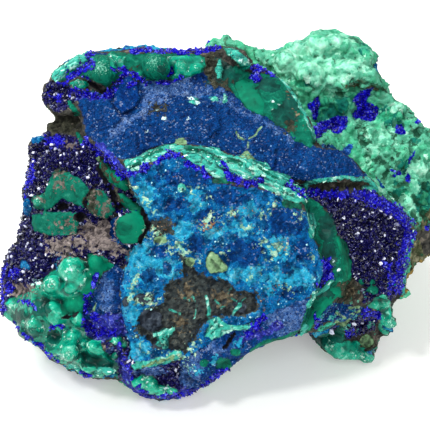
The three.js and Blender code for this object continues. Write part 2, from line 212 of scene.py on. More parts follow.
def mixValue(tree, factor, first, second):
    return addNode(tree, "ShaderNodeMix", {0: factor, 2: first, 3: second}, data_type="FLOAT").outputs[0]


def ranged(tree, value, low, high):
    inputs = {"Value": value, "From Min": low, "From Max": high}
    return addNode(tree, "ShaderNodeMapRange", inputs, interpolation_type="SMOOTHSTEP").outputs["Result"]


def objectPlace(tree):
    return addNode(tree, "ShaderNodeTexCoord").outputs["Object"]


def attribute(tree, name, output="Fac"):
    return addNode(tree, "ShaderNodeAttribute", attribute_name=name).outputs[output]


def noiseNode(tree, **inputs):
    named = {name.title(): value for name, value in inputs.items()}
    return addNode(tree, "ShaderNodeTexNoise", named).outputs["Fac"]


def newGroup(name, inputs, outputs):
    tree = bpy.data.node_groups.new(name, "ShaderNodeTree")
    for label, kind, value in inputs:
        socket = tree.interface.new_socket(name=label, in_out="INPUT", socket_type="NodeSocket" + kind)
        if value is not None:
            socket.default_value = value
    for label, kind in outputs:
        tree.interface.new_socket(name=label, in_out="OUTPUT", socket_type="NodeSocket" + kind)
    return tree, addNode(tree, "NodeGroupInput").outputs, addNode(tree, "NodeGroupOutput").inputs


# where a crust begins: a field in pixels, its border broken up by noise
def makeCrustEdge():
    tree, given, put = newGroup(
        "crustEdge",
        [("Field", "Float", 0.0), ("Ragged", "Float", 4.0), ("Scale", "Float", 300.0), ("Soft", "Float", 0.6)],
        [("Mask", "Float")],
    )
    grain = noiseNode(tree, vector=objectPlace(tree), scale=given["Scale"], detail=5.0, roughness=0.62)
    push = times(tree, mathNode(tree, "SUBTRACT", grain, 0.5), times(tree, given["Ragged"], 3.0))
    edge = mathNode(tree, "ADD", given["Field"], push)
    tree.links.new(ranged(tree, edge, times(tree, given["Soft"], -1.0), given["Soft"]), put["Mask"])
    return tree


# three tones of one mineral, spread by noise
def makeMottle():
    tree, given, put = newGroup(
        "mineralMottle",
        [
            ("Place", "Vector", None), ("Dark", "Color", rgb("14283c")), ("Middle", "Color", rgb("3c5a78")),
            ("Light", "Color", rgb("96b4c8")), ("Scale", "Float", 300.0), ("Roughness", "Float", 0.65),
            ("Balance", "Float", 0.0), ("Twist", "Float", 0.6),
        ],
        [("Color", "Color"), ("Value", "Float")],
    )
    grain = noiseNode(
        tree, vector=given["Place"], scale=given["Scale"], detail=8.0, roughness=given["Roughness"],
        distortion=given["Twist"],
    )
    value = mathNode(tree, "ADD", grain, given["Balance"])
    low = mixColour(tree, ranged(tree, value, 0.33, 0.52), given["Dark"], given["Middle"])
    tree.links.new(mixColour(tree, ranged(tree, value, 0.52, 0.70), low, given["Light"]), put["Color"])
    tree.links.new(value, put["Value"])
    return tree


# tiny crystal faces: a few get a painted glint, each has its own tone and height
def makeGlint():
    tree, given, put = newGroup(
        "crystalGlint",
        [("Scale", "Float", 2500.0), ("Share", "Float", 0.1)],
        [("Spark", "Float"), ("Tone", "Float"), ("Height", "Float")],
    )
    cells = addNode(tree, "ShaderNodeTexVoronoi", {"Vector": objectPlace(tree), "Scale": given["Scale"]})
    parts = addNode(tree, "ShaderNodeSeparateColor", {"Color": cells.outputs["Color"]})
    few = mathNode(tree, "GREATER_THAN", parts.outputs[0], mathNode(tree, "SUBTRACT", 1.0, given["Share"]))
    drift = noiseNode(tree, vector=objectPlace(tree), scale=260.0, detail=3.0)
    tree.links.new(times(tree, few, ranged(tree, drift, 0.42, 0.60)), put["Spark"])
    tree.links.new(parts.outputs[1], put["Tone"])
    tree.links.new(mathNode(tree, "SUBTRACT", 1.0, cells.outputs["Distance"]), put["Height"])
    return tree


crustEdge, mottle, glint = makeCrustEdge(), makeMottle(), makeGlint()

# painted glints on crystal faces, and painted shade in hollows with painted light on crests, the same on every
# crust
glitter = {
    "scale": 2100.0, "share": 0.10, "dull": (0.2, 0.2, 0.26, 1), "bright": (1.9, 1.85, 1.8, 1), "toning": 0.9,
    "paintedGlintColour": "becce8", "glow": 0.55, "shineRough": 0.15, "relief": 1.2,
}
paintedCrestShade = {"deep": -0.30, "proud": 0.12, "crestLight": (1.1, 1.1, 1.1, 1)}
plainCrust = {
    "balance": 0.0, "detail": 0.65, "twist": 0.6, "spark": 0.0, "coat": 0.0, "sparse": 0.0,
    "ragged": 4.0, "edgeScale": 420.0, "soft": 0.5, "cover": 1.0, "flow": False,
}


# one crust of a finish: its field, its dark, middle and light tones, then how it is spread
def crust(field, tones, scale, rough, bump, **more):
    own = {"field": field, "tones": tones.split(), "scale": scale, "rough": rough, "bump": bump}
    return {**plainCrust, **own, **more}


def newMaterial(name, gloss, coatRoughness):
    material = bpy.data.materials.new(name)
    material.use_nodes = True
    shader = material.node_tree.nodes["Principled BSDF"]
    shader.inputs["Specular IOR Level"].default_value = gloss
    shader.inputs["Coat Roughness"].default_value = coatRoughness
    return material, material.node_tree, shader.inputs


def crustMask(tree, layer):
    field = mathNode(tree, "SUBTRACT", attribute(tree, layer["field"] + "Field"), layer["sparse"])
    inputs = {"Field": field, "Ragged": layer["ragged"], "Scale": layer["edgeScale"], "Soft": layer["soft"]}
    return times(tree, addGroup(tree, crustEdge, inputs)["Mask"], layer["cover"])


# a rock finish: crusts laid one over another, each where its field says
def layeredFinish(name, layers, gloss=0.05, relief=0.0009, shade=(0.36, 0.36, 0.40, 1)):
    material, tree, shader = newMaterial(name, gloss, 0.10)
    place, flow = objectPlace(tree), attribute(tree, "flow", "Vector")
    faces = addGroup(tree, glint, {"Scale": glitter["scale"], "Share": glitter["share"]})
    colour = None
    for layer in layers:
        dark, middle, light = (rgb(tone) for tone in layer["tones"])
        spot = addGroup(tree, mottle, {
            "Place": flow if layer["flow"] else place, "Dark": dark, "Middle": middle, "Light": light,
            "Scale": layer["scale"], "Balance": layer["balance"], "Roughness": layer["detail"],
            "Twist": layer["twist"],
        })
        own = (layer["rough"], times(tree, spot["Value"], layer["bump"]), layer["spark"], layer["coat"])
        if colour is None:
            colour, values = spot["Color"], own
            continue
        mask = crustMask(tree, layer)
        colour = mixColour(tree, mask, colour, spot["Color"])
        values = [mixValue(tree, mask, under, over) for under, over in zip(values, own)]
    rough, height, sparkle, coat = values
    toned = mixColour(tree, faces["Tone"], glitter["dull"], glitter["bright"])
    toned = mixColour(tree, times(tree, sparkle, glitter["toning"]), (1, 1, 1, 1), toned)
    colour = mixColour(tree, 1.0, colour, toned, "MULTIPLY")
    # painted shade in the hollows and painted light on the crests
    proud = ranged(tree, attribute(tree, "crest"), paintedCrestShade["deep"], paintedCrestShade["proud"])
    colour = mixColour(tree, 1.0, colour, mixColour(tree, proud, shade, paintedCrestShade["crestLight"]), "MULTIPLY")
    # painted glints: a few facets of the sparkling crusts are mixed toward a near-white colour
    glow = times(tree, faces["Spark"], sparkle)
    colour = mixColour(tree, times(tree, glow, glitter["glow"]), colour, rgb(glitter["paintedGlintColour"]))
    facet = times(tree, faces["Height"], times(tree, sparkle, glitter["relief"]))
    height = mathNode(tree, "ADD", height, facet)
    bump = addNode(tree, "ShaderNodeBump", {"Strength": 1.0, "Distance": relief, "Height": height})
    feed(tree, shader, {
        "Base Color": colour, "Roughness": mixValue(tree, glow, rough, glitter["shineRough"]),
        "Coat Weight": coat, "Normal": bump.outputs["Normal"],
    })
    return material


# crystals and splinters: every copy has its own tone, and its surface a faint grain
copyGrain = {
    "dark": (0.55, 0.55, 0.6, 1), "middle": (1, 1, 1, 1), "light": (1.35, 1.35, 1.3, 1), "relief": 0.0002,
}


def crystalFinish(name, tones, rough, gloss, limits, grain=2500.0):
    material, tree, shader = newMaterial(name, gloss, 0.08)
    dark, middle, light = (rgb(tone) for tone in tones.split())
    tone = attribute(tree, "tone")
    spot = addGroup(tree, mottle, {
        "Place": objectPlace(tree), "Dark": copyGrain["dark"], "Middle": copyGrain["middle"],
        "Light": copyGrain["light"], "Scale": grain,
    })
    low = mixColour(tree, ranged(tree, tone, limits[0], limits[1]), dark, middle)
    colour = mixColour(tree, ranged(tree, tone, limits[2], limits[3]), low, light)
    worn = mixValue(tree, ranged(tree, spot["Value"], 0.3, 0.7), rough * 0.7, rough * 1.4)
    height = {"Strength": 0.5, "Distance": copyGrain["relief"], "Height": spot["Value"]}
    feed(tree, shader, {
        "Base Color": mixColour(tree, 1.0, colour, spot["Color"], "MULTIPLY"), "Roughness": worn,
        "Normal": addNode(tree, "ShaderNodeBump", height).outputs["Normal"],
    })
    return material


# mesh helpers
def applyModifier(obj, name, kind, **settings):
    modifier = obj.modifiers.new(name, kind)
    for key, value in settings.items():
        setattr(modifier, key, value)
    bpy.context.view_layer.objects.active = obj
    bpy.ops.object.modifier_apply(modifier=modifier.name)


# the numbers that a mesh holds for its points, edges, loops or faces
def readList(items, name, width=1, kind=np.int32):
    flat = np.empty(len(items) * width, kind)
    items.foreach_get(name, flat)
    return flat.reshape(-1, width) if width > 1 else flat


def pointsOf(obj):
    return readList(obj.data.vertices, "co", 3, np.float32).astype(float)


def normalsOf(obj):
    return readList(obj.data.vertex_normals, "vector", 3, np.float32).astype(float)


def movePoints(obj, points):
    obj.data.vertices.foreach_set("co", points.astype(np.float32).ravel())
    obj.data.update()


def setField(obj, name, values):
    made = obj.data.attributes.new(name, "FLOAT", "POINT")
    made.data.foreach_set("value", np.asarray(values, np.float32))


def noiseOver(points, grain, seed):
    shifted = points * 1000 / grain + seed * 7.31
    return np.array([noise.noise(p) for p in shifted.tolist()])


def weightGroup(obj, name, weights, levels=8):
    group = obj.vertex_groups.new(name=name)
    rounded = np.round(np.clip(weights, 0, 1) * levels).astype(int)
    for level in range(1, levels + 1):
        group.add(np.nonzero(rounded == level)[0].tolist(), level / levels, "REPLACE")


def reliefTexture(name, kind, grain, **settings):
    made = bpy.data.textures.new(name, kind)
    made.noise_scale = grain
    for key, value in settings.items():
        setattr(made, key, value)
    return made


def displace(obj, texture, strength, level, **settings):
    settings.update(texture=texture, strength=strength, mid_level=level, texture_coords="LOCAL")
    applyModifier(obj, texture.name, "DISPLACE", **settings)


def selectOnly(obj):
    bpy.ops.object.select_all(action="DESELECT")
    obj.select_set(True)
    bpy.context.view_layer.objects.active = obj


# edit mode, with all of the mesh, none of it, or only its chosen faces selected
def openMesh(select="SELECT"):
    bpy.ops.object.mode_set(mode="EDIT")
    if select == "CHOSEN":
        bpy.ops.mesh.select_mode(type="FACE")
    else:
        bpy.ops.mesh.select_all(action=select)


def closeMesh():
    bpy.ops.object.mode_set(mode="OBJECT")


def smooth(x):
    x = np.clip(x, 0, 1)
    return x * x * (3 - 2 * x)


# "75,92 88,90" is two points of an outline or a line, each a column and a row. A spot also has its
# half-width and half-height, and a lump its radius and how far it stands out
def numbersIn(text):
    return [[float(number) for number in group.split(",")] for group in text.split()]


# the main areas of the front
zones = {
    "band": (
        "75,92 88,90 103,92 113,84 128,72 140,80 175,79 190,72 206,74 218,90 245,108 270,122 295,141 320,148 "
        "338,150 353,159 368,177 344,176 329,179 309,182 292,180 285,176 260,164 235,155 205,145 180,143 "
        "165,144 150,149 136,157 124,160 113,156 98,146 86,135 82,118"
    ),
    "azure": (
        "127,177 140,172 155,164 170,155 182,155 202,170 218,184 250,188 268,192 282,196 288,207 308,212 "
        "312,230 318,246 326,262 322,283 311,297 290,304 262,318 240,326 215,338 190,356 160,366 140,369 "
        "131,355 126,335 121,310 119,290 127,262 140,242 147,225 142,205 133,190"
    ),
    "vein": (
        "123,159 136,157 151,149 166,144 180,144 197,146 218,147 224,153 237,156 247,152 254,159 268,163 "
        "270,170 287,174 293,180 306,186 317,192 308,199 298,204 285,200 279,194 260,187 252,180 241,178 "
        "229,172 224,167 226,176 218,179 210,174 203,167 187,161 182,154 172,150 163,155 149,163 138,171 "
        "128,172 124,167"
    ),
    "ridge": (
        "50,77 54,70 64,63 77,54 88,54 93,53 107,54 112,49 125,52 134,54 150,52 170,53 190,53 200,54 209,60 "
        "203,72 190,77 173,80 150,81 140,78 128,72 117,82 107,88 90,80 78,76 60,82"
    ),
    "slab": (
        "226,70 236,66 246,71 256,72 270,74 278,74 287,84 296,98 305,113 316,141 310,147 295,140 286,129 "
        "268,118 249,110 240,101 231,90"
    ),
    "wall": (
        "300,198 312,198 321,205 328,213 336,227 341,245 348,257 347,272 348,286 341,290 328,303 316,314 "
        "306,331 300,331 309,302 320,288 330,279 327,268 318,254 320,245 313,238 314,222 308,212"
    ),
    "rightDruse": (
        "306,193 320,194 345,192 370,195 394,207 408,226 411,238 406,256 401,275 400,290 392,302 380,298 "
        "365,287 349,276 349,258 342,245 336,226 329,212 320,203"
    ),
    "leftDruse": (
        "27,155 32,138 47,131 62,134 78,137 96,153 112,166 140,206 142,240 128,266 100,262 50,250 17,241 "
        "18,215 23,180"
    ),
    "farLobe": "1,321 0,280 5,256 17,241 38,240 60,255 60,264 45,277 30,292 14,296 8,326",
    "grapes": (
        "4,300 14,296 30,291 46,276 61,262 62,257 78,257 87,262 88,253 104,256 114,266 104,272 94,291 85,306 "
        "83,320 88,337 100,342 104,350 117,363 118,376 100,379 86,378 70,368 52,360 40,349 14,336 4,318"
    ),
    "blueLobe": (
        "100,275 109,271 116,262 124,272 119,290 121,310 127,321 130,335 122,337 100,342 87,337 83,321 86,307 "
        "94,291"
    ),
    "bottomDruse": (
        "104,342 128,336 131,355 140,369 160,366 182,360 186,380 183,396 163,404 145,400 131,392 119,378 "
        "110,356"
    ),
    "bottomVelvet": (
        "180,360 202,340 240,326 262,318 282,304 311,297 308,330 292,340 274,343 258,350 244,357 225,373 "
        "205,388 184,398"
    ),
    "lowerLumps": (
        "303,331 308,312 330,296 345,276 362,288 380,296 396,303 398,325 391,336 381,337 380,366 345,366 "
        "328,358 312,342"
    ),
    "pale": (
        "195,50 200,36 215,36 226,33 238,40 258,47 275,50 286,43 309,35 311,29 341,29 344,37 358,37 378,50 "
        "374,63 386,80 384,88 400,100 411,108 418,124 429,131 440,142 449,165 455,195 453,225 444,246 430,262 "
        "418,274 408,290 395,305 370,300 330,260 290,200 240,130 205,75"
    ),
}

# smaller shapes that stand proud or lie deep
bottomGrapes = "129,380 141,375 154,376 160,384 177,389 179,393 168,397 157,398 145,391 132,387"
grapeShadow = "80,351 100,355 117,363 114,370 98,370 81,366"
grapeHollow = "54,337,9,9"
bigBall = "131,228,17,17"
bandNotch = "276,150 277,158 275,167"
bandSwell = "152,109 168,98 181,92 198,98 216,110 222,128 204,142 180,143 160,146 140,152 136,130"
bandShoulder = "80,96 112,98 113,108 124,117 104,134 98,146 86,134"
shardPit = "147,338,3,3"
druseBowl = "314,190 345,191 372,200 392,222 396,250 380,280 352,270 344,240 330,212"
upperPalePit, lowerPalePit = "351,134,7,12", "380,162,8,7"
plates = [
    (
        "52,172 60,168 70,172 83,180 91,191 86,196 83,204 85,209 75,205 67,201 62,199 54,207 46,211 34,209 "
        "32,201 44,192 49,183"
    ),
    "32,215 44,211 78,212 79,222 77,234 59,236 44,235 32,230",
    "94,188 104,190 112,201 117,212 107,220 95,217 86,209 87,199",
]
leaves = [
    "97,158 102,159 115,171 125,178 130,191 123,191 111,183 102,175 98,167",
    "115,193 123,193 133,200 143,209 140,215 129,213 120,204",
]
bandFacet = "130,70 138,81 141,99 134,109 122,115 113,106 113,93 122,80"
oliveFace = "206,258 211,251 218,255 228,266 227,271 212,274 206,267"
brow = (
    "195,50 200,34 240,38 275,48 309,33 311,26 341,26 358,34 382,48 376,63 390,80 376,86 360,81 344,84 330,96 "
    "312,98 300,110 280,84 262,66 230,50"
)
brownFace = (
    "182,258 190,258 196,270 204,276 227,280 236,290 259,293 257,311 241,317 212,317 201,328 198,336 186,352 "
    "169,352 154,346 140,336 135,328 138,317 152,308 164,302 164,285 182,277"
)
lowerRim = "316,334 328,338 345,342 361,343 374,350 384,356 382,370 345,370 326,362 314,346"
slates = "151,320,12,12 144,299,9,5 126,302,4,5 160,345,8,6"
shard = "153,333 176,325 176,330 168,340 168,349 163,350 160,343 154,337"

# where each mineral lies: areas, spots, and lines with their half-width, in the order in which the crusts
# lie on one another
marks = {
    "druse": {
        "areas": [
            zones["rightDruse"], zones["leftDruse"], zones["farLobe"], zones["bottomDruse"],
            "345,322 361,316 377,312 379,320 374,329 361,336 350,339 345,336",
            "361,288 380,292 378,302 364,302",
            "42,99 43,91 48,82 59,80 68,84 76,92 76,100 69,106 58,114 48,107",
        ],
        "spots": "30,311,10,9 92,283,3,5",
    },
    "velvet": {
        "areas": [
            zones["band"], zones["blueLobe"], zones["bottomVelvet"],
            "314,314 328,303 346,304 364,308 366,313 354,319 344,325 328,322 318,327",
        ],
        "spots": "129,62,9,8",
        "lines": [("216,88 231,96 249,110 268,120 290,138 312,148", 4)],
    },
    "grey": {
        "areas": [
            (
                "140,78 160,82 176,79 206,74 212,92 198,97 181,92 168,98 152,108 134,124 112,140 104,136 "
                "124,118 140,110 144,98"
            ),
            "216,90 245,108 270,122 290,138 270,128 246,116 228,104 214,98",
            "262,306 284,303 308,299 308,322 296,336 276,338 264,326",
            "180,362 196,352 206,362 200,380 186,390 178,380",
        ],
        "spots": "106,292,11,18 222,348,12,7 110,360,9,12 150,372,16,6",
        "lines": [("220,90 249,109 268,119 290,137", 2.5)],
    },
    "violet": {
        "areas": [
            "74,90 88,92 106,95 104,100 86,99 74,100",
            "86,322 96,314 120,314 128,322 130,334 118,336 100,342 88,337",
            (
                "207,174 218,184 233,184 249,188 268,191 281,195 286,205 302,208 302,212 286,209 277,202 "
                "256,198 233,194 218,193 209,186 204,176"
            ),
            "319,256 326,264 330,276 322,284 314,276 310,268",
        ],
        "lines": [
            ("100,146 114,160 126,175 150,170 166,159 176,158", 4), ("282,300 302,294 316,290", 4),
            ("120,350 126,372 130,391 146,398 165,402 186,393", 5), ("240,342 262,334 280,326", 4),
        ],
    },
    "azure": {
        "areas": [zones["azure"]],
        "spots": "27,207,5,8 25,265,5,5 37,138,8,5 371,352,4,4",
    },
    "turquoise": {
        "spots": (
            "140,262,15,20 134,300,8,24 165,268,16,10 290,278,26,12 245,275,22,8 196,200,12,12 146,196,10,16 "
            "243,228,13,8 250,210,10,7 278,248,12,12 182,232,12,8 140,350,10,12 228,176,6,4 272,290,10,6 "
            "210,234,10,6 196,370,6,4 214,362,4,4 242,344,5,2"
        ),
    },
    "navy": {
        "areas": [bandFacet],
        "spots": (
            "226,197,20,9 285,222,20,13 245,252,20,13 185,178,26,9 208,216,10,8 302,250,8,10 160,252,8,6 "
            "167,268,5,5 288,292,12,6 196,244,10,10 176,205,12,8 150,275,7,8 286,270,6,5 240,98,5,4 200,80,8,9 "
            "276,158,2,10 228,340,3,10 118,292,3,16"
        ),
    },
    "malachite": {
        "areas": [
            zones["ridge"], zones["slab"], zones["wall"], "297,120 306,118 316,142 310,148 300,138",
            "228,64 238,70 240,84 230,88 222,84 224,70",
        ],
        "lines": [("69,103 77,114", 2.5), ("77,133 81,143", 2), ("254,352 267,343 284,341 304,332", 4)],
        "spots": "224,365,8,8 362,282,3,3 373,282,3,3 393,285,6,3 373,290,6,5 204,363,5,4 236,353,5,4",
    },
    "plate": {"areas": plates},
    "glassy": {
        "areas": [
            zones["grapes"], "166,56 200,56 205,64 200,74 172,76 167,66", "108,54 126,56 122,68 114,78",
            "224,47 234,47 245,55 252,63 251,68 245,71 239,67 235,60 226,55",
            bottomGrapes,
            "318,327 328,322 343,325 345,341 361,342 366,353 378,356 379,365 350,365 328,358 316,342",
            "366,307 377,297 384,294 392,303 392,313 397,322 392,333 384,336 378,330 380,318 377,311",
        ],
        "spots": "37,200,6,6 116,341,7,5 124,345,3,4 114,356,4,4 80,84,10,5",
    },
    "emerald": {
        "areas": [
            *leaves, "234,83 246,77 259,88 265,104 262,114 250,110 240,100",
            "87,253 103,256 114,266 103,272 95,290 86,308 76,314 62,315 60,304 66,297 78,297 86,284",
        ],
        "spots": bigBall + " 346,262,4,22 340,292,12,6",
        "lines": [("340,240 348,262 348,282 330,300 316,314 308,328", 4)],
    },
    # darker green malachite, with painted shade in the recess below the grapes and between the grapes' lobes
    "dark": {
        "areas": [
            grapeShadow, "320,326 342,326 345,340 340,345 332,345 322,340",
            "314,284 330,284 332,296 318,300", "208,57 221,56 231,68 240,75 240,80 228,86 206,84",
        ],
        "spots": (
            "292,100,8,18 284,116,12,10 268,84,12,7 328,228,8,16 41,308,9,10 330,256,8,14 162,70,4,8 "
            "100,91,9,3 54,337,8,8 28,334,14,6 20,316,9,6 46,347,8,5 318,340,6,10"
        ),
        "lines": [("70,364 78,358 80,350", 2)],
    },
    "matrix": {
        "areas": [
            brownFace, "92,186 100,190 96,217 86,209 87,199", "97,158 102,159 112,176 102,175",
            "341,284 350,281 359,290 354,301 344,302", "206,54 216,50 216,82 206,84",
            "330,191 335,184 350,181 370,182 373,191 350,190",
        ],
        "spots": (
            "64,124,14,9 162,228,12,9 56,129,10,4 368,343,6,5 219,84,9,4 378,192,5,4 158,108,8,5 14,290,12,5 "
            "60,172,6,4 134,74,3,6 290,126,4,6"
        ),
        "lines": [("113,180 115,196 124,213 130,214", 2), ("116,214 116,234", 3)],
    },
    "slate": {"spots": slates + " 240,307,8,6"},
    "ledge": {
        "areas": [
            (
                "42,236 62,237 80,234 86,218 100,220 112,216 117,230 129,242 128,254 116,258 104,254 86,251 "
                "62,256 44,254"
            ),
        ],
        "spots": "16,288,12,6",
    },
    "mint": {
        "areas": [
            zones["vein"], shard, "50,77 54,70 64,64 77,54 86,54 88,61 77,67 68,72 60,80 54,81",
            "204,337 212,320 218,317 227,324 241,326 256,322 262,320 256,329 232,331 212,340",
            "217,60 221,59 223,68 222,78 217,78 215,70", "226,48 236,49 248,58 250,66 242,66 234,60 227,55",
        ],
        "lines": [
            ("136,366 150,363 168,359 178,354", 4), ("332,279 327,287 315,294 309,306", 2.5),
            ("311,215 313,226 311,236", 3), ("64,369 73,366 82,374", 2.5),
            ("94,375 100,370 110,370 118,376", 3),
            ("366,188 382,190 394,200 406,213 414,224 412,240 408,254 404,270 404,292", 3),
            ("300,190 309,183 329,180 344,177 356,180 370,179 378,190", 2),
            ("278,73 288,86 297,100 306,116 316,138", 1.5), ("301,334 306,326", 2.5), ("183,298 190,301", 1),
            ("206,296 209,310 208,323", 1.2), ("232,315 240,305", 1.2), ("170,310 181,314", 0.8),
            ("246,298 242,302 246,304", 0.8), ("216,300 222,308 231,305", 0.7),
            ("192,296 197,306 194,318", 0.7), ("232,288 226,297 236,301", 0.7),
        ],
        "spots": "194,101,6,3 215,98,5,2 225,98,2,5 182,188,4,4 160,343,4,3",
    },
    # pale crust, and painted highlights on the grape knobs, the bulb, the bottom lump and the lower lumps
    "frostAndHighlights": {
        "spots": (
            "37,284,8,7 70,270,5,4 84,271,3,3 52,283,5,5 10,306,7,5 28,322,6,4 66,357,9,4 78,350,3,7 "
            "258,170,10,8 285,190,13,5 132,165,7,6 80,83,6,2 240,60,5,4 248,63,3,6 148,382,6,6 165,388,4,3 "
            "328,345,4,4 345,361,16,3 366,360,10,4 390,320,4,4 389,331,5,3 84,344,5,4 116,341,6,4 38,200,4,4 "
            "46,328,8,2 190,368,6,4"
        ),
        "lines": [
            ("46,333 49,327 58,325 64,331 65,338 61,346", 1.6), ("88,270 87,277 80,286 72,295", 1.5),
            ("186,150 204,154 222,162 240,166", 1.5), ("162,344 174,330", 1.5),
        ],
    },
    "speckle": {
        "spots": (
            "100,67,15,15 154,62,14,14 182,64,12,12 80,84,10,9 74,270,12,12 54,284,11,11 20,305,14,11 "
            "28,326,16,11 68,352,11,13 384,304,12,11 388,324,12,12 330,346,14,11 356,354,16,11 150,385,18,11"
        ),
    },
    # near-white painted glints on the slab, the bulb, the grapes and the bottom lump, with a few small pale
    # crystals
    "paleChipsAndGlints": {
        "spots": (
            "273,101,1.5,0.8 279,104,0.8,1.2 272,110,1.2,0.8 334,261,1.2,1 339,270,1,1.2 164,118,2.4,1.6 "
            "158,109,1.5,0.9 147,131,1,0.8 188,118,0.8,1.5 191,98,3,1.6 197,103,3,1.8 64,325,1.2,1.2 "
            "71,270,1.4,1.6 84,271,1.4,1.2 38,283,3.5,1.8 66,279,1.2,1.2 240,60,2,1 249,62,0.9,2 "
            "148,382,2.2,1.4 166,388,2,1 54,209,1.2,1.2"
        ),
    },
    # dark green streaks in the vein, and painted shadow under its tongue and in a slot below it
    "streakAndShadow": {
        "lines": [
            ("184,148 203,151 220,159", 2.2), ("144,158 160,150", 2), ("229,159 241,163", 2.5),
            ("284,203 300,207", 3), ("214,181 237,181", 2.5), ("258,168 268,174 280,180", 1.2),
            ("128,168 140,163", 1.2),
        ],
    },
    "cream": {
        "lines": [
            ("275,203 266,212 262,220", 4), ("147,231 166,242 182,250 193,262", 7),
            ("138,337 142,346 150,352", 4), ("250,277 263,262", 3), ("132,186 146,200 154,212", 4),
            ("138,272 132,290 134,306", 5), ("180,358 196,342 206,336", 3),
        ],
        "spots": (
            "234,215,10,7 262,242,8,5 276,250,12,9 246,228,8,5 290,290,6,4 312,257,5,4 208,222,12,9 "
            "150,300,12,8 192,190,6,5 206,200,5,4 180,355,16,6 300,216,6,4 222,252,6,4 284,284,8,4"
        ),
    },
    "olive": {
        "areas": [oliveFace, "176,138 186,138 187,144 174,144", "237,157 247,150 256,159 248,160"],
        "lines": [
            ("236,131 239,137 244,139", 0.9), ("249,138 256,135 258,130 262,126", 0.9),
            ("248,141 248,147", 0.9), ("337,313 345,318", 1.2), ("349,308 359,307", 1.2),
            ("361,311 350,315", 1.2), ("336,322 343,325 350,320", 1.5), ("96,303 93,312", 1),
            ("143,366 158,361 172,357", 2),
        ],
        "spots": "367,341,7,6 160,240,7,4 190,262,5,5 98,158,2,3",
    },
    "ochre": {
        "lines": [("281,287 271,290 262,297 262,312", 4), ("276,202 266,214", 3)],
        "spots": (
            "236,213,8,5 208,226,14,9 250,210,12,6 286,246,7,10 259,230,4,4 163,226,9,6 132,284,4,6 "
            "188,258,6,4 172,176,5,3 183,200,4,4 288,272,4,4 318,277,4,3 366,339,4,4 378,270,4,4"
        ),
    },
    "rust": {
        "spots": (
            "288,94,8,8 308,128,5,9 270,116,8,4 236,90,5,4 296,112,8,12 148,66,4,8 232,58,8,4 188,292,17,16 "
            "222,298,20,15 180,322,15,15 352,292,12,12"
        ),
    },
    "dust": {
        "spots": (
            "60,174,7,6 62,184,12,8 40,200,8,7 97,203,9,14 62,224,14,7 104,208,8,12 84,230,24,8 30,288,16,6 "
            "70,144,14,6"
        ),
    },
    # near-black painted shade in the crevices, which the relief also sinks
    "creviceShade": {
        "lines": [
            ("98,168 110,188 115,201 124,213", 2), ("62,318 73,316 78,312", 1), ("90,82 102,92 110,89", 2),
            ("142,210 148,226 140,242", 2), ("234,334 224,348", 2),
        ],
        "spots": "80,217,6,5 63,206,8,4",
    },
    "vivid": {
        "lines": [
            ("133,50 150,49 172,51 191,49 201,50 216,47", 3), ("91,54 90,64 79,71 68,78", 3.5),
            ("72,90 86,94 107,97 114,87 128,72", 2), ("114,69 122,70 134,72 142,80", 2),
            ("143,83 160,83 173,81 184,78", 1), ("86,142 98,152 112,164 122,176", 2.5),
            ("124,174 138,173 153,164 168,154 180,155 186,161", 2.5), ("186,161 201,169 210,179", 1.5),
            ("223,165 230,176 245,184 260,180", 2.5), ("289,184 298,192 310,194", 3),
            ("302,192 324,194 347,194 368,197", 4), ("368,197 383,204 396,212 408,224 410,234", 6),
            ("406,240 401,262 398,290", 4.5), ("384,262 394,276 390,290", 3), ("25,158 21,190 22,196", 4),
            ("6,258 2,285 4,312", 1.5), ("97,276 88,298 84,318 88,336", 2),
            ("120,345 128,372 148,398 180,394", 1), ("84,374 87,377", 3), ("326,262 330,277 322,284", 3),
            ("184,396 206,386 226,370", 2.5), ("366,314 377,316", 4), ("50,329 58,326 66,330", 1),
            ("12,324 30,338 46,352 58,361", 1.2), ("22,301 30,303 37,308 38,316", 1.5),
            ("255,67 264,68 273,75", 3), ("262,318 250,334", 3), ("318,326 316,316", 2),
        ],
        "spots": (
            "54,141,9,7 50,90,3,4 62,84,4,2 58,97,4,3 70,94,3,2 256,77,5,6 103,331,9,4 95,318,4,7 113,333,5,3 "
            "350,334,5,5 14,273,6,6 9,288,4,4 256,330,4,3 30,172,5,12 132,84,3,3"
        ),
    },
}

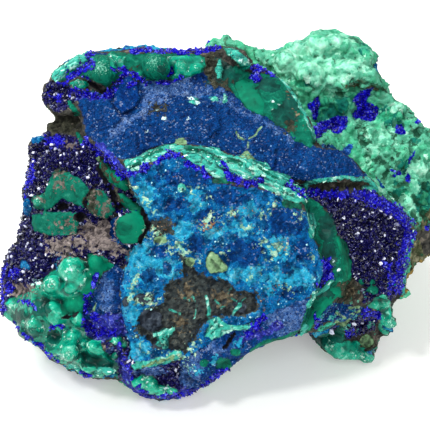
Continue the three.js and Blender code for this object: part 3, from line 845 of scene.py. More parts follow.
# the same on the pale mass
paleMarks = {
    "deep": {
        "areas": ["316,98 340,94 356,95 350,110 340,118 322,122 312,126"],
        "spots": (
            "365,48,8,6 404,166,8,8 400,196,8,16 388,114,10,12 402,120,6,8 384,210,10,10 304,84,8,4 "
            "424,200,9,16 414,140,5,4 300,45,7,4"
        ),
    },
    "leafGreen": {
        "spots": "324,101,5,8 374,103,6,9 336,140,10,7 306,118,3,14 350,86,12,4 240,58,10,6 396,224,12,8",
    },
    "stone": {
        "areas": ["338,90 351,82 361,81 377,87 388,88 376,91 360,86 350,88"],
        "spots": "424,256,16,34 408,232,8,8 430,216,6,8",
    },
    # painted shade in the clefts and under the brow, with darker patches spread by noise
    "cleftShade": {
        "lines": [
            ("361,124 359,134 364,146", 2.5), ("372,160 380,158 388,168 384,178", 2.5),
            ("366,154 370,166", 1.5), ("396,196 402,210 400,220", 2), ("414,196 420,206 426,218", 2.5),
            ("392,148 398,156 396,166", 1.5), ("338,93 350,85 362,82 376,86 388,90", 1.5),
        ],
        "spots": "404,184,4,3 412,214,5,4 424,186,4,5 382,202,5,4",
    },
    "gold": {"lines": [("404,290 412,278 424,267 440,252", 5)]},
    # pale patches, with painted highlights on the top of the brow
    "snowAndHighlights": {
        "spots": (
            "292,66,20,12 318,45,20,8 276,80,10,8 350,66,14,6 382,135,12,5 300,50,14,8 418,168,12,7 "
            "366,164,5,5 398,106,7,4 405,205,8,8 340,40,12,5 322,66,14,8 330,78,18,6"
        ),
    },
    "cobalt": {
        "areas": [
            "309,103 319,97 320,110 316,120 312,116",
            "354,98 361,91 373,89 368,97 366,103 377,108 377,117 370,121 362,119 352,117 357,108",
            "312,129 322,120 338,116 347,116 347,124 341,133 335,132 329,129 323,133 317,141",
        ],
        "spots": (
            "400,129,5,5 393,171,2.5,2.5 400,172,2.5,2.5 408,178,2,3.5 394,175,2,2 417,122,3,2 428,228,2.5,3"
        ),
        "lines": [("415,152 409,163", 1.2)],
    },
    "blue": {"areas": ["339,151 354,142 350,154 342,156"]},
}

farField = 14.0  # pixels: a field is not followed further out than this


def nearOnly(corners):
    low, high = corners.min(0) - farField, corners.max(0) + farField
    return np.nonzero((column > low[0]) & (column < high[0]) & (row > low[1]) & (row < high[1]))[0]


def offSegment(x, y, a, b):
    ab = b - a
    t = np.clip(((x - a[0]) * ab[0] + (y - a[1]) * ab[1]) / (ab @ ab), 0, 1)
    return np.hypot(x - a[0] - t * ab[0], y - a[1] - t * ab[1])


def edgeDistance(x, y, corners, closed):
    least, inside = np.full(len(x), 1e9), np.zeros(len(x), bool)
    sides = list(zip(corners, np.roll(corners, -1, 0)))
    for a, b in sides if closed else sides[:-1]:
        least = np.minimum(least, offSegment(x, y, a, b))
        if closed:
            crossing = (b[0] - a[0]) * (y - a[1]) / (b[1] - a[1] + 1e-9) + a[0]
            inside ^= ((a[1] > y) != (b[1] > y)) & (x < crossing)
    return least, inside


# distances in pixels, above zero inside
def insideBy(outline):
    corners = np.array(numbersIn(outline))
    chosen = nearOnly(corners)
    field = np.full(len(column), -farField)
    least, inside = edgeDistance(column[chosen], row[chosen], corners, True)
    field[chosen] = np.where(inside, least, -least)
    return field


def nearLine(line, width):
    corners = np.array(numbersIn(line))
    chosen = nearOnly(corners)
    field = np.full(len(column), -farField)
    field[chosen] = width - edgeDistance(column[chosen], row[chosen], corners, False)[0]
    return field


def nearSpot(x, y, across, down):
    return (1 - np.hypot((column - x) / across, (row - y) / down)) * min(across, down)


# one inside and nought outside, with a soft border
def softArea(outline, border=4):
    return np.clip(insideBy(outline) / border + 0.5, 0, 1)


def mostOf(*fields):
    most = fields[0]
    for field in fields[1:]:
        most = np.maximum(most, field)
    return most


def nearSpots(spots):
    return mostOf(*[nearSpot(*spot) for spot in numbersIn(spots)])


def insideAny(outlines):
    return mostOf(*[insideBy(outline) for outline in outlines])


def markField(mark):
    parts = [insideBy(outline) for outline in mark.get("areas", ())]
    parts += [nearSpot(*spot) for spot in numbersIn(mark.get("spots", ""))]
    parts += [nearLine(*line) for line in mark.get("lines", ())]
    return mostOf(*parts)


# lumps that grow out of the rock
lumps = {
    "ridge": (
        "102,70,14,0.35 81,84,8,0.1 90,72,7 156,66,13,0.35 173,61,6,0.1 181,68,7,0.1 188,59,6,0.1 196,69,7,0.1 "
        "168,56,6 118,60,8 129,61,7 240,58,9,0.35 230,53,7,0.25 247,63,6,0.35 205,62,6 112,57,7 74,66,7 "
        "62,72,6 54,78,5 84,60,6 140,76,6 188,75,6 162,80,6 175,80,5 150,80,5 219,61,4,0.3 219,68,5,0.3 "
        "219,75,4,0.3 198,71,6 48,88,7 59,86,7 47,97,6 61,97,6 256,78,5,0.3"
    ),
    "grapes": (
        "71,269,13,0.4 80,278,9,0.3 72,286,9,0.3 52,284,9,0.3 39,284,6,0.1 52,308,8,0.1 96,263,9,0.2 88,284,13 "
        "76,302,13 27.5,314,5,0.4 12,304,6 32,323,5 24,332,5 38,343,5 70,352,10,0.5 73,336,7 79,318,6,0.3 "
        "85,346,7,0.4 93,348,5,0.3 101,349,6,0.2 115,341,6,0.4 114,356,4,0.3 124,345,3,0.3 70,368,5 78,371,4 "
        "100,372,5 108,371,5 115,374,4"
    ),
    "left": "131,228,16,0.5 38,201,6,0.5 37,145,9,0.1 52,128,7 66,126,7",
    "bottom": "138,383,8,0.2 150,386,8,0.2 161,391,7,0.2 173,389,6,0.2 134,378,6 148,379,6 183,385,6",
    "lower right": (
        "329,345,10,0.2 341,353,10,0.2 354,354,9,0.2 368,356,9,0.2 384,302,8,0.1 374,306,7 388,312,7 "
        "390,322,7,0.1 386,330,7 369,342,9,-0.3 347,324,7 356,330,7 370,322,8 331,314,9 318,316,6 350,310,7 "
        "346,300,7"
    ),
    "pale": (
        "286,60,14,-0.2 300,50,12,-0.2 318,42,11,-0.2 336,42,10,-0.1 352,48,9,-0.1 368,56,8,-0.1 372,74,8,-0.1 "
        "352,70,12,-0.2 330,66,13,-0.2 308,72,13,-0.2 290,80,10,-0.2 272,62,9,-0.1 258,54,7 240,46,7 214,42,7 "
        "226,40,7 398,112,9,-0.1 412,124,8 386,126,9,-0.1 424,142,8 402,150,10,-0.1 438,158,8 420,168,9,-0.1 "
        "392,176,8 440,190,9,-0.1 410,200,9,-0.1 432,214,9 392,222,7 376,150,8 362,138,8 324,101,7,0.2 "
        "346,104,9,0.1 352,128,7 400,295,6 342,86,8,0.5 366,82,8,0.5 374,102,7,0.2 406,292,6,0.2"
    ),
}
# the skin that is laid over the solid: lengths in m, smoothing in rounds, lumps in parts of their radius
skin = {
    "weld": 0.000002, "firstVoxel": 0.0008, "softening": 16, "coarseGrain": 0.009, "coarseHeight": 0.0022,
    "lumpSunk": 0.45, "lumpLean": 0.3, "lumpStretch": 0.10, "lumpSeed": 4,
    "lastVoxel": 0.0005, "settling": 3, "calming": 60, "crestRounds": 10,
}


def copyOfRock():
    rock = bpy.data.objects.new("oreFront", rockNode.data.copy())
    scene.collection.objects.link(rock)
    selectOnly(rock)
    openMesh()
    bpy.ops.mesh.remove_doubles(threshold=skin["weld"])
    closeMesh()
    rock.data.materials.clear()
    return rock


# one mesh of many copies of a shape, each turned by chance but standing out of the rock
def growCopies(name, shape, places, out, sizes, seed, lean, stretch, along=None):
    rng = np.random.default_rng(seed)
    count = len(places)
    up = out + lean * rng.normal(size=(count, 3))
    up /= np.linalg.norm(up, axis=1, keepdims=True)
    guide = rng.normal(size=(count, 3)) if along is None else along + 0.25 * rng.normal(size=(count, 3))
    across = guide - up * (guide * up).sum(1, keepdims=True)
    across /= np.linalg.norm(across, axis=1, keepdims=True)
    turns = np.stack((across, np.cross(up, across), up), axis=2)
    scale = sizes[:, None] * (1 + stretch * rng.normal(size=(count, 3)).clip(-1.2, 1.2))
    spots, triangles = shape
    grown = np.einsum("nij,nvj->nvi", turns, spots[None] * scale[:, None]) + places[:, None]
    grown = grown.reshape(-1, 3)
    grown[:, 2] = np.maximum(grown[:, 2], 0)  # nothing sinks into the floor
    mesh = bpy.data.meshes.new(name)
    faces = (triangles[None] + (np.arange(count) * len(spots))[:, None, None]).reshape(-1, 3)
    mesh.from_pydata(grown.tolist(), [], faces.tolist())
    obj = bpy.data.objects.new(name, mesh)
    scene.collection.objects.link(obj)
    setField(obj, "tone", np.repeat(rng.random(count), len(spots)))
    return obj


# the points and triangles of a modelled shape, which itself goes
def templateOf(obj):
    obj.data.calc_loop_triangles()
    shape = (pointsOf(obj), readList(obj.data.loop_triangles, "vertices", 3))
    bpy.data.objects.remove(obj)
    return shape


# where the eye's line through a pixel meets the rock
def seenOnRock(x, y):
    hit, place, out, _ = rock.ray_cast(eye, Vector(fromPhoto(x, y, 0)) - eye)
    return (np.array(place), np.array(out)) if hit else (None, None)


def addLumps():
    bpy.ops.mesh.primitive_ico_sphere_add(subdivisions=3, radius=1)
    ball = templateOf(bpy.context.object)
    places, out, sizes = [], [], []
    for x, y, radius, *proud in [lump for group in lumps.values() for lump in numbersIn(group)]:
        place, facing = seenOnRock(x, y)
        if place is None:
            continue
        size = radius * pixel / 1000
        places.append(place + inward * size * (skin["lumpSunk"] - (proud[0] if proud else 0.0)))
        out.append(facing)
        sizes.append(size)
    places, out, sizes = np.array(places), np.array(out), np.array(sizes)
    turning = (skin["lumpSeed"], skin["lumpLean"], skin["lumpStretch"])
    grown = growCopies("lumps", ball, places, out, sizes, *turning)
    selectOnly(rock)
    grown.select_set(True)
    bpy.ops.object.join()


rock = copyOfRock()
applyModifier(rock, "firstSkin", "REMESH", mode="VOXEL", voxel_size=skin["firstVoxel"])
applyModifier(rock, "soften", "SMOOTH", factor=0.5, iterations=skin["softening"])
coarse = reliefTexture("coarseRock", "CLOUDS", skin["coarseGrain"], noise_depth=3)
displace(rock, coarse, skin["coarseHeight"], 0.5)
addLumps()
applyModifier(rock, "lastSkin", "REMESH", mode="VOXEL", voxel_size=skin["lastVoxel"])
applyModifier(rock, "settle", "SMOOTH", factor=0.5, iterations=skin["settling"])
print("rock skin", len(rock.data.polygons), "quads")

points = pointsOf(rock)
column, row, depth = toPhoto(points)


# how far each point lies behind the nearest one in its part of the view, in mm
def behindNearest(cell=2, margin=8, size=260):
    across = (column / cell + margin).astype(int)
    down = (row / cell + margin).astype(int)
    nearest = np.full((size, size), 1e9)
    np.minimum.at(nearest, (across, down), depth)
    wider = nearest.copy()
    for i in (-1, 0, 1):
        for j in (-1, 0, 1):
            wider = np.minimum(wider, np.roll(nearest, (i, j), (0, 1)))
    return depth - wider[across, down]


# what the photograph shows, and what of it is the pale mass: depths in mm, edges, columns and rows in
# pixels, and how many pixels a mm of depth counts for
parting = {
    "seenDepth": 9, "paleFront": 12, "pastFront": 6, "pastDruse": 14, "paleBack": 17, "slope": 3.0,
    "paleEdge": 8, "druseEdge": 5, "lumpEdge": 5, "rightColumn": 410, "rightRow": 230, "farColumn": 440,
    "fade": 6, "bigWander": 40, "patchWander": 26, "middleWander": 10,
}
slope = parting["slope"]
onFront = (parting["seenDepth"] - behindNearest()) * slope
onLumps = insideBy(zones["lowerLumps"]) > -parting["lumpEdge"]
gap = depth - np.where(onLumps, lumpDepth(column, row), frontDepth(column, row))
paleOff = depth - paleDepth(column, row)
isPale = np.minimum(insideBy(zones["pale"]) + parting["paleEdge"], (paleOff + parting["paleFront"]) * slope)
isPale = np.minimum(isPale, (gap - parting["pastFront"]) * slope)
outOfDruse = -insideBy(zones["rightDruse"]) - parting["druseEdge"]
isPale = np.minimum(isPale, np.maximum(outOfDruse, (gap - parting["pastDruse"]) * slope))
atRight = np.minimum(column - parting["rightColumn"], parting["rightRow"] - row)
isPale = np.maximum(isPale, np.minimum(onFront, atRight))

# noises of four grains, in mm, spread the minerals where the photograph doesn't show them
noises = {"big": (14, 1), "patch": (19, 2), "middle": (5, 4), "fleck": (1.6, 3)}
big, patch, middle, fleck = (noiseOver(points, *noises[name]) for name in ("big", "patch", "middle", "fleck"))
wandering = parting["bigWander"] * big + parting["patchWander"] * patch + parting["middleWander"] * middle
isPale += np.clip(-onFront / parting["fade"], 0, 1) * wandering
side = np.minimum(-onFront, -isPale)  # neither front nor pale: the hidden sides
wander, stray = (broad + 0.30 * middle + 0.10 * fleck for broad in (big, patch))
sideFields = {
    "malachite": (wander - 0.20) * 50,
    "druse": (stray - 0.16) * 60,
    "velvet": (-0.02 - stray) * 60,
    "azure": (-0.12 - wander) * 50,
    "mint": np.minimum(2.2 - np.abs(wander - 0.20) * 50, middle * 20),
    "vivid": np.minimum(2 - np.abs(stray - 0.16) * 60, middle * 20),
    "glassy": (wander - 0.30) * 50,
    "turquoise": (-0.26 - wander) * 50,
    "navy": (-0.2 - stray) * 60,
}
fields = {name: np.minimum(markField(mark), onFront) for name, mark in marks.items()}
for name, field in sideFields.items():
    fields[name] = np.maximum(fields[name], np.minimum(field, side))
# the blue rims stay narrow where the rock turns away, and nothing dusty lies on the big ball
rims = {"ragged": 5, "turned": 0.3, "narrowing": 20, "ballClear": 4}
turnedAway = np.clip(rims["turned"] + normalsOf(rock) @ inward, 0, rims["turned"]) * rims["narrowing"]
fields["vivid"] = fields["vivid"] + fleck * rims["ragged"] - turnedAway * (onFront > 0)
for name in ("ledge", "matrix", "dust"):
    fields[name] = np.minimum(fields[name], -rims["ballClear"] * nearSpots(bigBall))

paleHere = (parting["paleBack"] - paleOff) * slope
paleFar = np.maximum(-paleHere, (column - parting["farColumn"]) * 2)
paleSideFields = {
    "deep": (big - 0.12) * 40,
    "stone": (patch - 0.16) * 50,
    "snowAndHighlights": (-0.1 - big) * 40,
    "leafGreen": (-0.16 - patch) * 50,
}
paleFields = {name: np.minimum(markField(mark), paleHere) for name, mark in paleMarks.items()}
for name, field in paleSideFields.items():
    paleFields[name] = np.maximum(paleFields[name], np.minimum(field, paleFar))
paleFields["leafGreen"] = np.maximum(paleFields["leafGreen"], (middle + 0.5 * fleck - 0.16) * 16)
paleFields["cleftShade"] = np.maximum(paleFields["cleftShade"], (0.7 * fleck - 0.5 * middle - 0.34) * 14)
print("mineral fields are laid out")

# relief that follows the crusts: where it is, mm toward the eye, and how many pixels its border takes
steps = {
    "plates": (insideAny(plates) + 1, 0.9, 1.5),
    "bandFacet": (insideBy(bandFacet), 1.1, 2),
    "oliveFace": (insideBy(oliveFace), 0.6, 1.5),
    "leaves": (insideAny(leaves) + 0.5, 1.1, 5),
    "shard": (insideBy(shard), 0.6, 1.5),
    "slates": (nearSpots(slates), 0.35, 1.5),
    "grapeHollow": (nearSpots(grapeHollow), -1.8, 8),
    "grapeShadow": (insideBy(grapeShadow), -1.5, 5),
    "brownFace": (insideBy(brownFace), -0.8, 3),
    "bandNotch": (nearLine(bandNotch, 2), -0.7, 2),
    "shardPit": (nearSpots(shardPit), -0.8, 2),
    "bandSwell": (insideBy(bandSwell), 0.6, 2),
    "bandShoulder": (insideBy(bandShoulder), 0.4, 2),
    "creviceShade": (fields["creviceShade"], -1.1, 3),
    "cleftShade": (np.minimum(paleFields["cleftShade"], isPale), -0.7, 3),
    "upperPalePit": (nearSpots(upperPalePit), -0.8, 5),
    "lowerPalePit": (nearSpots(lowerPalePit), -1.2, 5),
    "druseBowl": (insideBy(druseBowl), -0.8, 18),
}
shown = (onFront > 0) | (isPale > 0)
raised = np.zeros(len(points))
for field, height, border in steps.values():
    raised += np.where(shown, smooth(field / border) * height, 0)
points -= inward * (raised / 1000)[:, None]
movePoints(rock, points)

# the brow and the lower rim are calmed before the fine relief
onBrow, onRim = softArea(brow) * (isPale > 0), softArea(lowerRim) * (onFront > 0)
weightGroup(rock, "calm", np.maximum(onBrow, onRim))
applyModifier(rock, "calmBrow", "SMOOTH", factor=0.5, iterations=skin["calming"], vertex_group="calm")

# fine relief: its texture, grain and strength in m, the tone that stays put, and where it acts
glossy = mostOf(*[fields[name] for name in ("malachite", "glassy", "emerald", "plate")])
even = np.where(onFront > 0, np.maximum(glossy, np.minimum(insideBy(brow), 1)), -1)
beaded = mostOf(fields["druse"], fields["ledge"], fields["cream"])
crumbly = isPale / 6 * (1 - 0.65 * onBrow)
reliefs = {
    "fine": ("CLOUDS", 0.0020, 0.0010, 0.5, 1 - np.clip(even / 3, 0, 0.9)),
    "craggy": ("CLOUDS", 0.0012, 0.0012, 0.5, np.maximum(fields["matrix"], fields["ledge"]) / 4),
    "paleClouds": ("CLOUDS", 0.0030, 0.0015, 0.5, crumbly),
    "paleLumps": ("VORONOI", 0.0050, -0.0004, 0.35, crumbly),
    "paleBeads": ("VORONOI", 0.0018, -0.0003, 0.35, crumbly),
    "sideDomes": ("VORONOI", 0.0042, -0.0020, 0.35, fields["malachite"] * (side > 0) / 5),
    "pebbles": ("VORONOI", 0.0016, -0.0006, 0.4, np.minimum(beaded, 1 - glossy) / 3),
    "crust": ("MUSGRAVE", 0.004, 0.0008, 0.5, np.minimum(fields["azure"], 2 - fields["matrix"]) / 5),
    "paleCrags": ("MUSGRAVE", 0.0036, 0.0008, 0.5, crumbly),
}
textureOptions = {
    "CLOUDS": {"noise_depth": 6, "noise_type": "HARD_NOISE"},
    "VORONOI": {"distance_metric": "DISTANCE_SQUARED"},
    "MUSGRAVE": {"musgrave_type": "RIDGED_MULTIFRACTAL"},
}
for name, (kind, grain, strength, level, share) in reliefs.items():
    weightGroup(rock, name, share)
    texture = reliefTexture(name, kind, grain, **textureOptions[kind])
    displace(rock, texture, strength, level, vertex_group=name)


# how far each point stands out of its surroundings, in mm
def crestOf(obj, rounds):
    first, second = readList(obj.data.edges, "vertices", 2).T
    places = pointsOf(obj)
    total = len(places)

    def overNeighbours(values):
        return np.bincount(first, values[second], total) + np.bincount(second, values[first], total)

    neighbours = overNeighbours(np.ones(total))
    soft = places.copy()
    for _ in range(rounds):
        summed = [overNeighbours(soft[:, k]) for k in range(3)]
        soft = 0.4 * soft + 0.6 * np.stack(summed, 1) / neighbours[:, None]
    return ((places - soft) * normalsOf(obj)).sum(1) * 1000


# the way the nearest mint crust runs, as a direction in space
runs = [
    "123,168 150,156 170,152 203,152 240,168 290,190 306,200 313,226 333,280 308,306",
    "374,192 392,200 408,218 414,232 402,268 402,290", "50,79 64,68 80,58 92,57 112,52",
    "136,366 168,360 205,336 218,322 260,322",
]


def runOfCrust(places):
    x, y, _ = toPhoto(places)
    best, run = np.full(len(x), 1e9), np.zeros((len(x), 3))
    for line in runs:
        corners = np.array(numbersIn(line))
        for a, b in zip(corners[:-1], corners[1:]):
            off = offSegment(x, y, a, b)
            nearer = off < best
            best[nearer] = off[nearer]
            run[nearer] = np.array((b[0] - a[0], 0, 0)) - upward * (b[1] - a[1])
    return run / np.linalg.norm(run, axis=1, keepdims=True)


# fibres of the mint crust: how narrow and long, where the crust is full, and their relief
fibres = {"narrow": 0.9, "long": 6, "crustEdge": 3, "ridge": 0.9, "groove": 2.2, "height": 0.0009}

points = pointsOf(rock)
run = runOfCrust(points)
slide = (points * run).sum(1, keepdims=True)
flow = (points - run * slide) / fibres["narrow"] + run * slide / fibres["long"]
furrow = fibres["ridge"] - fibres["groove"] * np.abs(noiseOver(flow, 1, 5))
lift = smooth(fields["mint"] / fibres["crustEdge"]) * furrow * fibres["height"]
points += normalsOf(rock) * lift[:, None]
points[:, 2] = np.maximum(points[:, 2], 0)
movePoints(rock, points)
rock.vertex_groups.clear()
crest = crestOf(rock, skin["crestRounds"])
setField(rock, "crest", crest)
drift = rock.data.attributes.new("flow", "FLOAT_VECTOR", "POINT")
drift.data.foreach_set("vector", flow.astype(np.float32).ravel())


# blue between the ridge's balls, shadow between the grapes, and light on what stands proud: how many mm
# below or above their surroundings these begin
crests = {
    "ridgeBlue": 0.26, "grapeShade": 0.22, "shadeInset": 3, "hollowSharp": 30, "light": 0.12, "lightSharp": 25,
}


def hollowsOf(area, depth):
    return np.minimum(np.minimum(area, -(crest + depth) * crests["hollowSharp"]), onFront)


ridgeBlue = hollowsOf(insideBy(zones["ridge"]), crests["ridgeBlue"])
grapeShade = hollowsOf(insideBy(zones["grapes"]) - crests["shadeInset"], crests["grapeShade"])
fields["vivid"] = np.maximum(fields["vivid"], ridgeBlue)
fields["dark"] = np.maximum(fields["dark"], grapeShade)
litTops = insideAny((zones["grapes"], zones["lowerLumps"], bottomGrapes))
fields["litTops"] = np.minimum(np.minimum(litTops, (crest - crests["light"]) * crests["lightSharp"]), onFront)
for name, field in (*fields.items(), *paleFields.items()):
    setField(rock, name + "Field", field)
print("relief is on the rock")

# each crust: grain, roughness and bump follow its tones, and the rest is what differs from a plain one
oreFinish = layeredFinish("oreCrusts", [
    crust("", "1a1b1b 3e3e3a 7a7266", 450.0, 0.85, 1.6),
    crust("druse", "060522 14124c 464282", 900.0, 0.4, 1.0, spark=0.9, ragged=4),
    crust("velvet", "001a46 003268 1a548a", 200.0, 0.6, 0.6, spark=0.38, ragged=3, detail=0.8),
    crust("grey", "1c3e74 426294 768cae", 420.0, 0.6, 0.8, spark=0.4, ragged=11, cover=0.75),
    crust("violet", "12125a 2a3292 6470c4", 700.0, 0.55, 0.8, spark=0.5, ragged=6),
    crust("azure", "002e68 04629c 50aac8", 320.0, 0.65, 1.5, spark=0.3, ragged=4, detail=0.8, twist=1.6),
    crust("turquoise", "005c90 249ec0 96d8d4", 480.0, 0.65, 1.5, spark=0.2, ragged=12, detail=0.8, cover=0.85),
    crust("navy", "00164c 023070 105494", 500.0, 0.6, 1.2, spark=0.5, ragged=9, detail=0.8, cover=0.85),
    crust("malachite", "003028 025e4a 288e72", 420.0, 0.5, 0.7, ragged=2, detail=0.8),
    crust("plate", "023a30 045e4c 2c7e68", 420.0, 0.6, 0.9, ragged=1.5, detail=0.75),
    crust("glassy", "00463c 007c62 1ea688", 260.0, 0.25, 0.3, ragged=2.5, coat=0.4, twist=1.2),
    # painted light on the crests of the grapes and lumps
    crust("litTops", "00765e 0a9678 82d8be", 420.0, 0.2, 0.3, ragged=6, coat=0.6, cover=0.5),
    crust("emerald", "00382c 006048 027858", 160.0, 0.55, 0.15, ragged=1.5),
    # darker green, partly painted shade in recesses and hollows
    crust("dark", "02181a 043430 0e5246", 340.0, 0.45, 0.6, ragged=7, coat=0.1, cover=0.85),
    crust("matrix", "1a1c18 44463a 807c68", 700.0, 0.85, 1.6, ragged=10, edgeScale=600.0, detail=0.85,
          cover=0.92),
    crust("slate", "181e26 2a323c 485058", 500.0, 0.5, 0.4, ragged=3),
    crust("ledge", "322c2e 968a86 cec2be", 460.0, 0.85, 1.9, ragged=20, sparse=2, edgeScale=600.0, detail=0.85),
    crust("mint", "005450 34a08e cef4e6", 420.0, 0.42, 1.0, ragged=2.5, detail=0.72, coat=0.12, flow=True),
    crust("frostAndHighlights", "3c9680 80c8b0 dcf4e8", 900.0, 0.4, 0.8, ragged=14, sparse=4, edgeScale=900.0, coat=0.3,
          cover=0.8),
    crust("speckle", "46a086 78bea6 d2eee2", 1800.0, 0.4, 0.6, ragged=18, sparse=12, edgeScale=2400.0,
          cover=0.5),
    crust("streakAndShadow", "002e28 005442 147860", 500.0, 0.45, 0.5, ragged=3, coat=0.1, flow=True),
    # painted glints, with a few small pale crystals
    crust("paleChipsAndGlints", "82bebe bededc f0faf8", 1500.0, 0.3, 0.5, ragged=2.5, edgeScale=900.0, coat=0.2),
    crust("cream", "3c8c78 8cba9c e0e2c4", 900.0, 0.7, 1.0, ragged=20, sparse=5, edgeScale=700.0, cover=0.9),
    crust("olive", "42603e 6c8e68 94ac86", 700.0, 0.6, 0.6, ragged=1.2),
    crust("ochre", "68482c a4764a d6c29c", 1500.0, 0.7, 1.0, ragged=24, sparse=10, edgeScale=1300.0, cover=0.9),
    crust("rust", "3c3428 5a503e 827862", 900.0, 0.7, 1.0, ragged=20, sparse=10, edgeScale=900.0, cover=0.85),
    crust("dust", "3c3632 645a54 968c84", 900.0, 0.8, 1.2, ragged=18, sparse=5, edgeScale=700.0, cover=0.85),
    crust("creviceShade", "08080e 16161c 2c2a2c", 700.0, 0.7, 1.0, ragged=3),
    crust("vivid", "04005a 160eb8 464cdc", 1200.0, 0.4, 1.2, spark=0.7, ragged=4),
])
paleFinish = layeredFinish("paleCrusts", [
    crust("", "2e8064 56ae8e 9cd8be", 260.0, 0.75, 1.2, balance=0.03, detail=0.85),
    crust("deep", "023232 106858 4aa084", 300.0, 0.5, 1.0, ragged=8),
    crust("leafGreen", "0a6042 329870 70c49e", 400.0, 0.5, 1.0, ragged=7, cover=0.7),
    crust("stone", "22201a 585a42 928e74", 420.0, 0.85, 1.8, ragged=6),
    crust("cleftShade", "0e2c22 245440 4e7056", 600.0, 0.85, 1.2, ragged=7, edgeScale=600.0, cover=0.8),
    crust("gold", "503e1e 92783e c4ac70", 600.0, 0.7, 1.4, ragged=6),
    crust("snowAndHighlights", "60bc98 92dabc d6f4e4", 420.0, 0.7, 1.0, ragged=14, cover=0.55),
    crust("blue", "0a3278 1e52a6 5a8cbe", 700.0, 0.5, 1.0, ragged=2, spark=0.4),
    crust("cobalt", "040068 100abe 3c40e1", 900.0, 0.4, 1.2, spark=0.7, ragged=3),
], shade=(0.52, 0.62, 0.58, 1))
crystalFinishes = {
    # the druse's near-white light tone, on a few crystals, is a painted glint
    "druse": crystalFinish("azuriteDruse", "04041e 0e0e52 d8dcf0", 0.14, 0.5, (0.1, 0.8, 0.93, 0.98)),
    "royal": crystalFinish("royalAzurite", "080360 1610ba 5460e2", 0.22, 0.4, (0.25, 0.6, 0.86, 0.97)),
    "velvet": crystalFinish("azuriteVelvet", "021e54 063874 688ebe", 0.4, 0.15, (0.1, 0.7, 0.90, 0.99)),
    "azure": crystalFinish("azureGrains", "02326c 0a6ca0 a0d4d8", 0.45, 0.15, (0.1, 0.7, 0.82, 0.97)),
    "mint": crystalFinish("brokenMalachite", "00544a 3ea48e c4f0de", 0.4, 0.3, (0.0, 0.75, 0.75, 1.0), 900.0),
}
print("finishes are made")

# small shapes: modelled once, then copied over the rock
quads = readList(rock.data.polygons, "vertices", 4)
skinPoints, skinNormals = pointsOf(rock), normalsOf(rock)
corners = skinPoints[quads]
diagonals = (corners[:, 2] - corners[:, 0], corners[:, 3] - corners[:, 1])
quadArea = np.linalg.norm(np.cross(*diagonals), axis=1) / 2
scattering = {
    "tries": 2.2, "aboveFloor": 0.0007, "mostlySmall": 1.6, "stretch": 0.12,
    "seed": 11, "sizeSeed": 5, "turnSeed": 23,
}


# places about a spacing apart on the faces where a field is above its margin
def scatter(field, spacing, margin):
    rng = np.random.default_rng(scattering["seed"])
    faces = np.nonzero(field[quads].mean(1) > margin)[0]
    count = int(quadArea[faces].sum() / spacing ** 2 * scattering["tries"])
    chosen = rng.choice(faces, count, p=quadArea[faces] / quadArea[faces].sum())
    u, v = rng.random((2, count, 1))
    q = corners[chosen]
    places = (q[:, 0] * (1 - u) + q[:, 1] * u) * (1 - v) + (q[:, 3] * (1 - u) + q[:, 2] * u) * v
    cells = {}
    for i, cell in enumerate(map(tuple, np.floor(places / spacing).astype(int).tolist())):
        if places[i, 2] > scattering["aboveFloor"]:
            cells.setdefault(cell, i)
    kept = np.array(list(cells.values()))
    out = skinNormals[quads[chosen[kept]]].mean(1)
    return places[kept], out / np.linalg.norm(out, axis=1, keepdims=True)


def keepPiece(obj):
    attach(obj, "root")
    print(obj.name, sum(len(p.vertices) - 2 for p in obj.data.polygons), "triangles")


def chooseFaces(obj, wanted):
    for face in obj.data.polygons:
        face.select = wanted(face)


# the face that would sit in the rock is left out
def dropFoot(obj):
    chooseFaces(obj, lambda face: face.normal.z < -0.9)
    openMesh("CHOSEN")
    bpy.ops.mesh.delete(type="FACE")
    closeMesh()


# a short four-sided blade with a wedge tip
def bladeCrystal(foot=0.40, top=0.36, tip=0.34, thin=0.66):
    bpy.ops.mesh.primitive_cone_add(vertices=4, radius1=foot, radius2=top, depth=1.0, location=(0, 0, 0.15))
    blade = bpy.context.object
    chooseFaces(blade, lambda face: face.center.z > 0.4)
    openMesh("CHOSEN")
    bpy.ops.mesh.poke(offset=tip)
    bpy.ops.mesh.select_all(action="SELECT")
    bpy.ops.transform.resize(value=(1, thin, 1))
    closeMesh()
    bpy.ops.object.transform_apply(location=True, rotation=True, scale=True)
    dropFoot(blade)
    return templateOf(blade)


# a blunt grain or a splinter with flat faces
def brokenGrain(seed, size):
    bpy.ops.mesh.primitive_cube_add(size=0.8)
    grain = bpy.context.object
    dropFoot(grain)
    openMesh()
    bpy.ops.transform.vertex_random(offset=0.16, seed=seed)
    bpy.ops.transform.resize(value=size)
    closeMesh()
    return templateOf(grain)


blade, grain, splinter = bladeCrystal(), brokenGrain(3, (1, 1, 0.8)), brokenGrain(5, (1.8, 0.55, 0.5))
order = list(marks)


# a crust where nothing lies over it
def bare(name):
    over = mostOf(*[fields[other] for other in order[order.index(name) + 1:]])
    return np.minimum(fields[name], -over + fleck * 4)


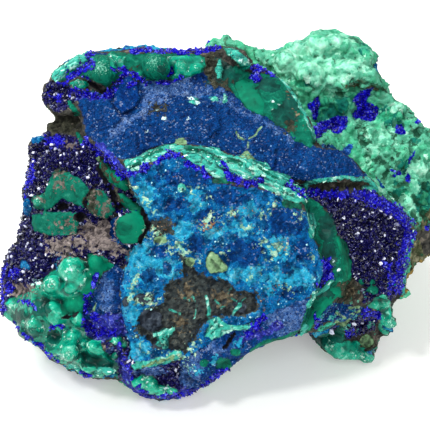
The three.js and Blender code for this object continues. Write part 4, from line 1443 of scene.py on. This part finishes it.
# spacing and sizes are in m, and the margin from the border of the crust in pixels
hiddenDrop = 50.0  # takes a field below every margin where the photograph doesn't show the rock
nearSide = np.where(onFront > 0, 0.0, hiddenDrop)
crystals = {
    "druseCrystals": {
        "shape": blade, "field": bare("druse") - nearSide, "spacing": 0.00074, "sizes": (0.0005, 0.0012),
        "finish": "druse", "lean": 0.45, "margin": 0.5,
    },
    "sideCrystals": {
        "shape": blade, "field": np.minimum(bare("druse"), side), "spacing": 0.0016, "sizes": (0.0009, 0.0020),
        "finish": "druse", "lean": 0.45, "margin": 0.5,
    },
    "royalCrystals": {
        "shape": blade, "field": fields["vivid"] - nearSide, "spacing": 0.00076, "sizes": (0.0004, 0.0010),
        "finish": "royal", "lean": 0.6, "margin": -0.5,
    },
    "velvetGrains": {
        "shape": grain, "field": np.maximum(bare("velvet"), bare("grey")) - nearSide, "spacing": 0.00074,
        "sizes": (0.0002, 0.0006), "finish": "velvet", "lean": 0.8, "margin": 0.5,
    },
    "azureGrains": {
        "shape": grain, "field": bare("azure") - nearSide, "spacing": 0.0011, "sizes": (0.0002, 0.0006),
        "finish": "azure", "lean": 0.8, "margin": 0.5,
    },
    "veinSplinters": {
        "shape": splinter, "field": fields["mint"] - nearSide, "spacing": 0.0017, "sizes": (0.0003, 0.0009),
        "finish": "mint", "lean": 0.3, "margin": 0.5,
    },
    "cobaltCrystals": {
        "shape": blade, "field": paleFields["cobalt"] + np.minimum(0, isPale + 4), "spacing": 0.0006,
        "sizes": (0.0004, 0.0009), "finish": "royal", "lean": 0.5, "margin": 0.6,
    },
}
for name, kind in crystals.items():
    places, out = scatter(kind["field"], kind["spacing"], kind["margin"])
    rng = np.random.default_rng(scattering["sizeSeed"])
    least, most = kind["sizes"]
    size = least + (most - least) * rng.random(len(places)) ** scattering["mostlySmall"]
    along = runOfCrust(places) if kind["shape"] is splinter else None
    turning = (scattering["turnSeed"], kind["lean"], scattering["stretch"], along)
    piece = growCopies(name, kind["shape"], places, out, size, *turning)
    piece.data.materials.append(crystalFinishes[kind["finish"]])
    keepPiece(piece)


def splitOff(obj, name, chosen):
    selectOnly(obj)
    openMesh("DESELECT")
    closeMesh()
    obj.data.polygons.foreach_set("select", chosen)
    openMesh("CHOSEN")
    bpy.ops.mesh.separate(type="SELECTED")
    closeMesh()
    part = [o for o in bpy.context.selected_objects if o != obj][0]
    part.name = part.data.name = name
    return part


# each face takes the value of its first point
def perFace(obj, values):
    return values[readList(obj.data.loops, "vertex_index")[readList(obj.data.polygons, "loop_start")]]


backStart = 15  # mm behind the front's own depth
rock.data.polygons.foreach_set("use_smooth", [True] * len(rock.data.polygons))
pale = splitOff(rock, "paleMalachite", perFace(rock, isPale > 0))
column, row, depth = toPhoto(pointsOf(rock))
back = splitOff(rock, "oreBack", perFace(rock, depth - frontDepth(column, row) > backStart))
for piece, finish in ((rock, oreFinish), (back, oreFinish), (pale, paleFinish)):
    piece.data.materials.clear()
    piece.data.materials.append(finish)
    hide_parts("azurite_malachite_rock")
    keepPiece(piece)
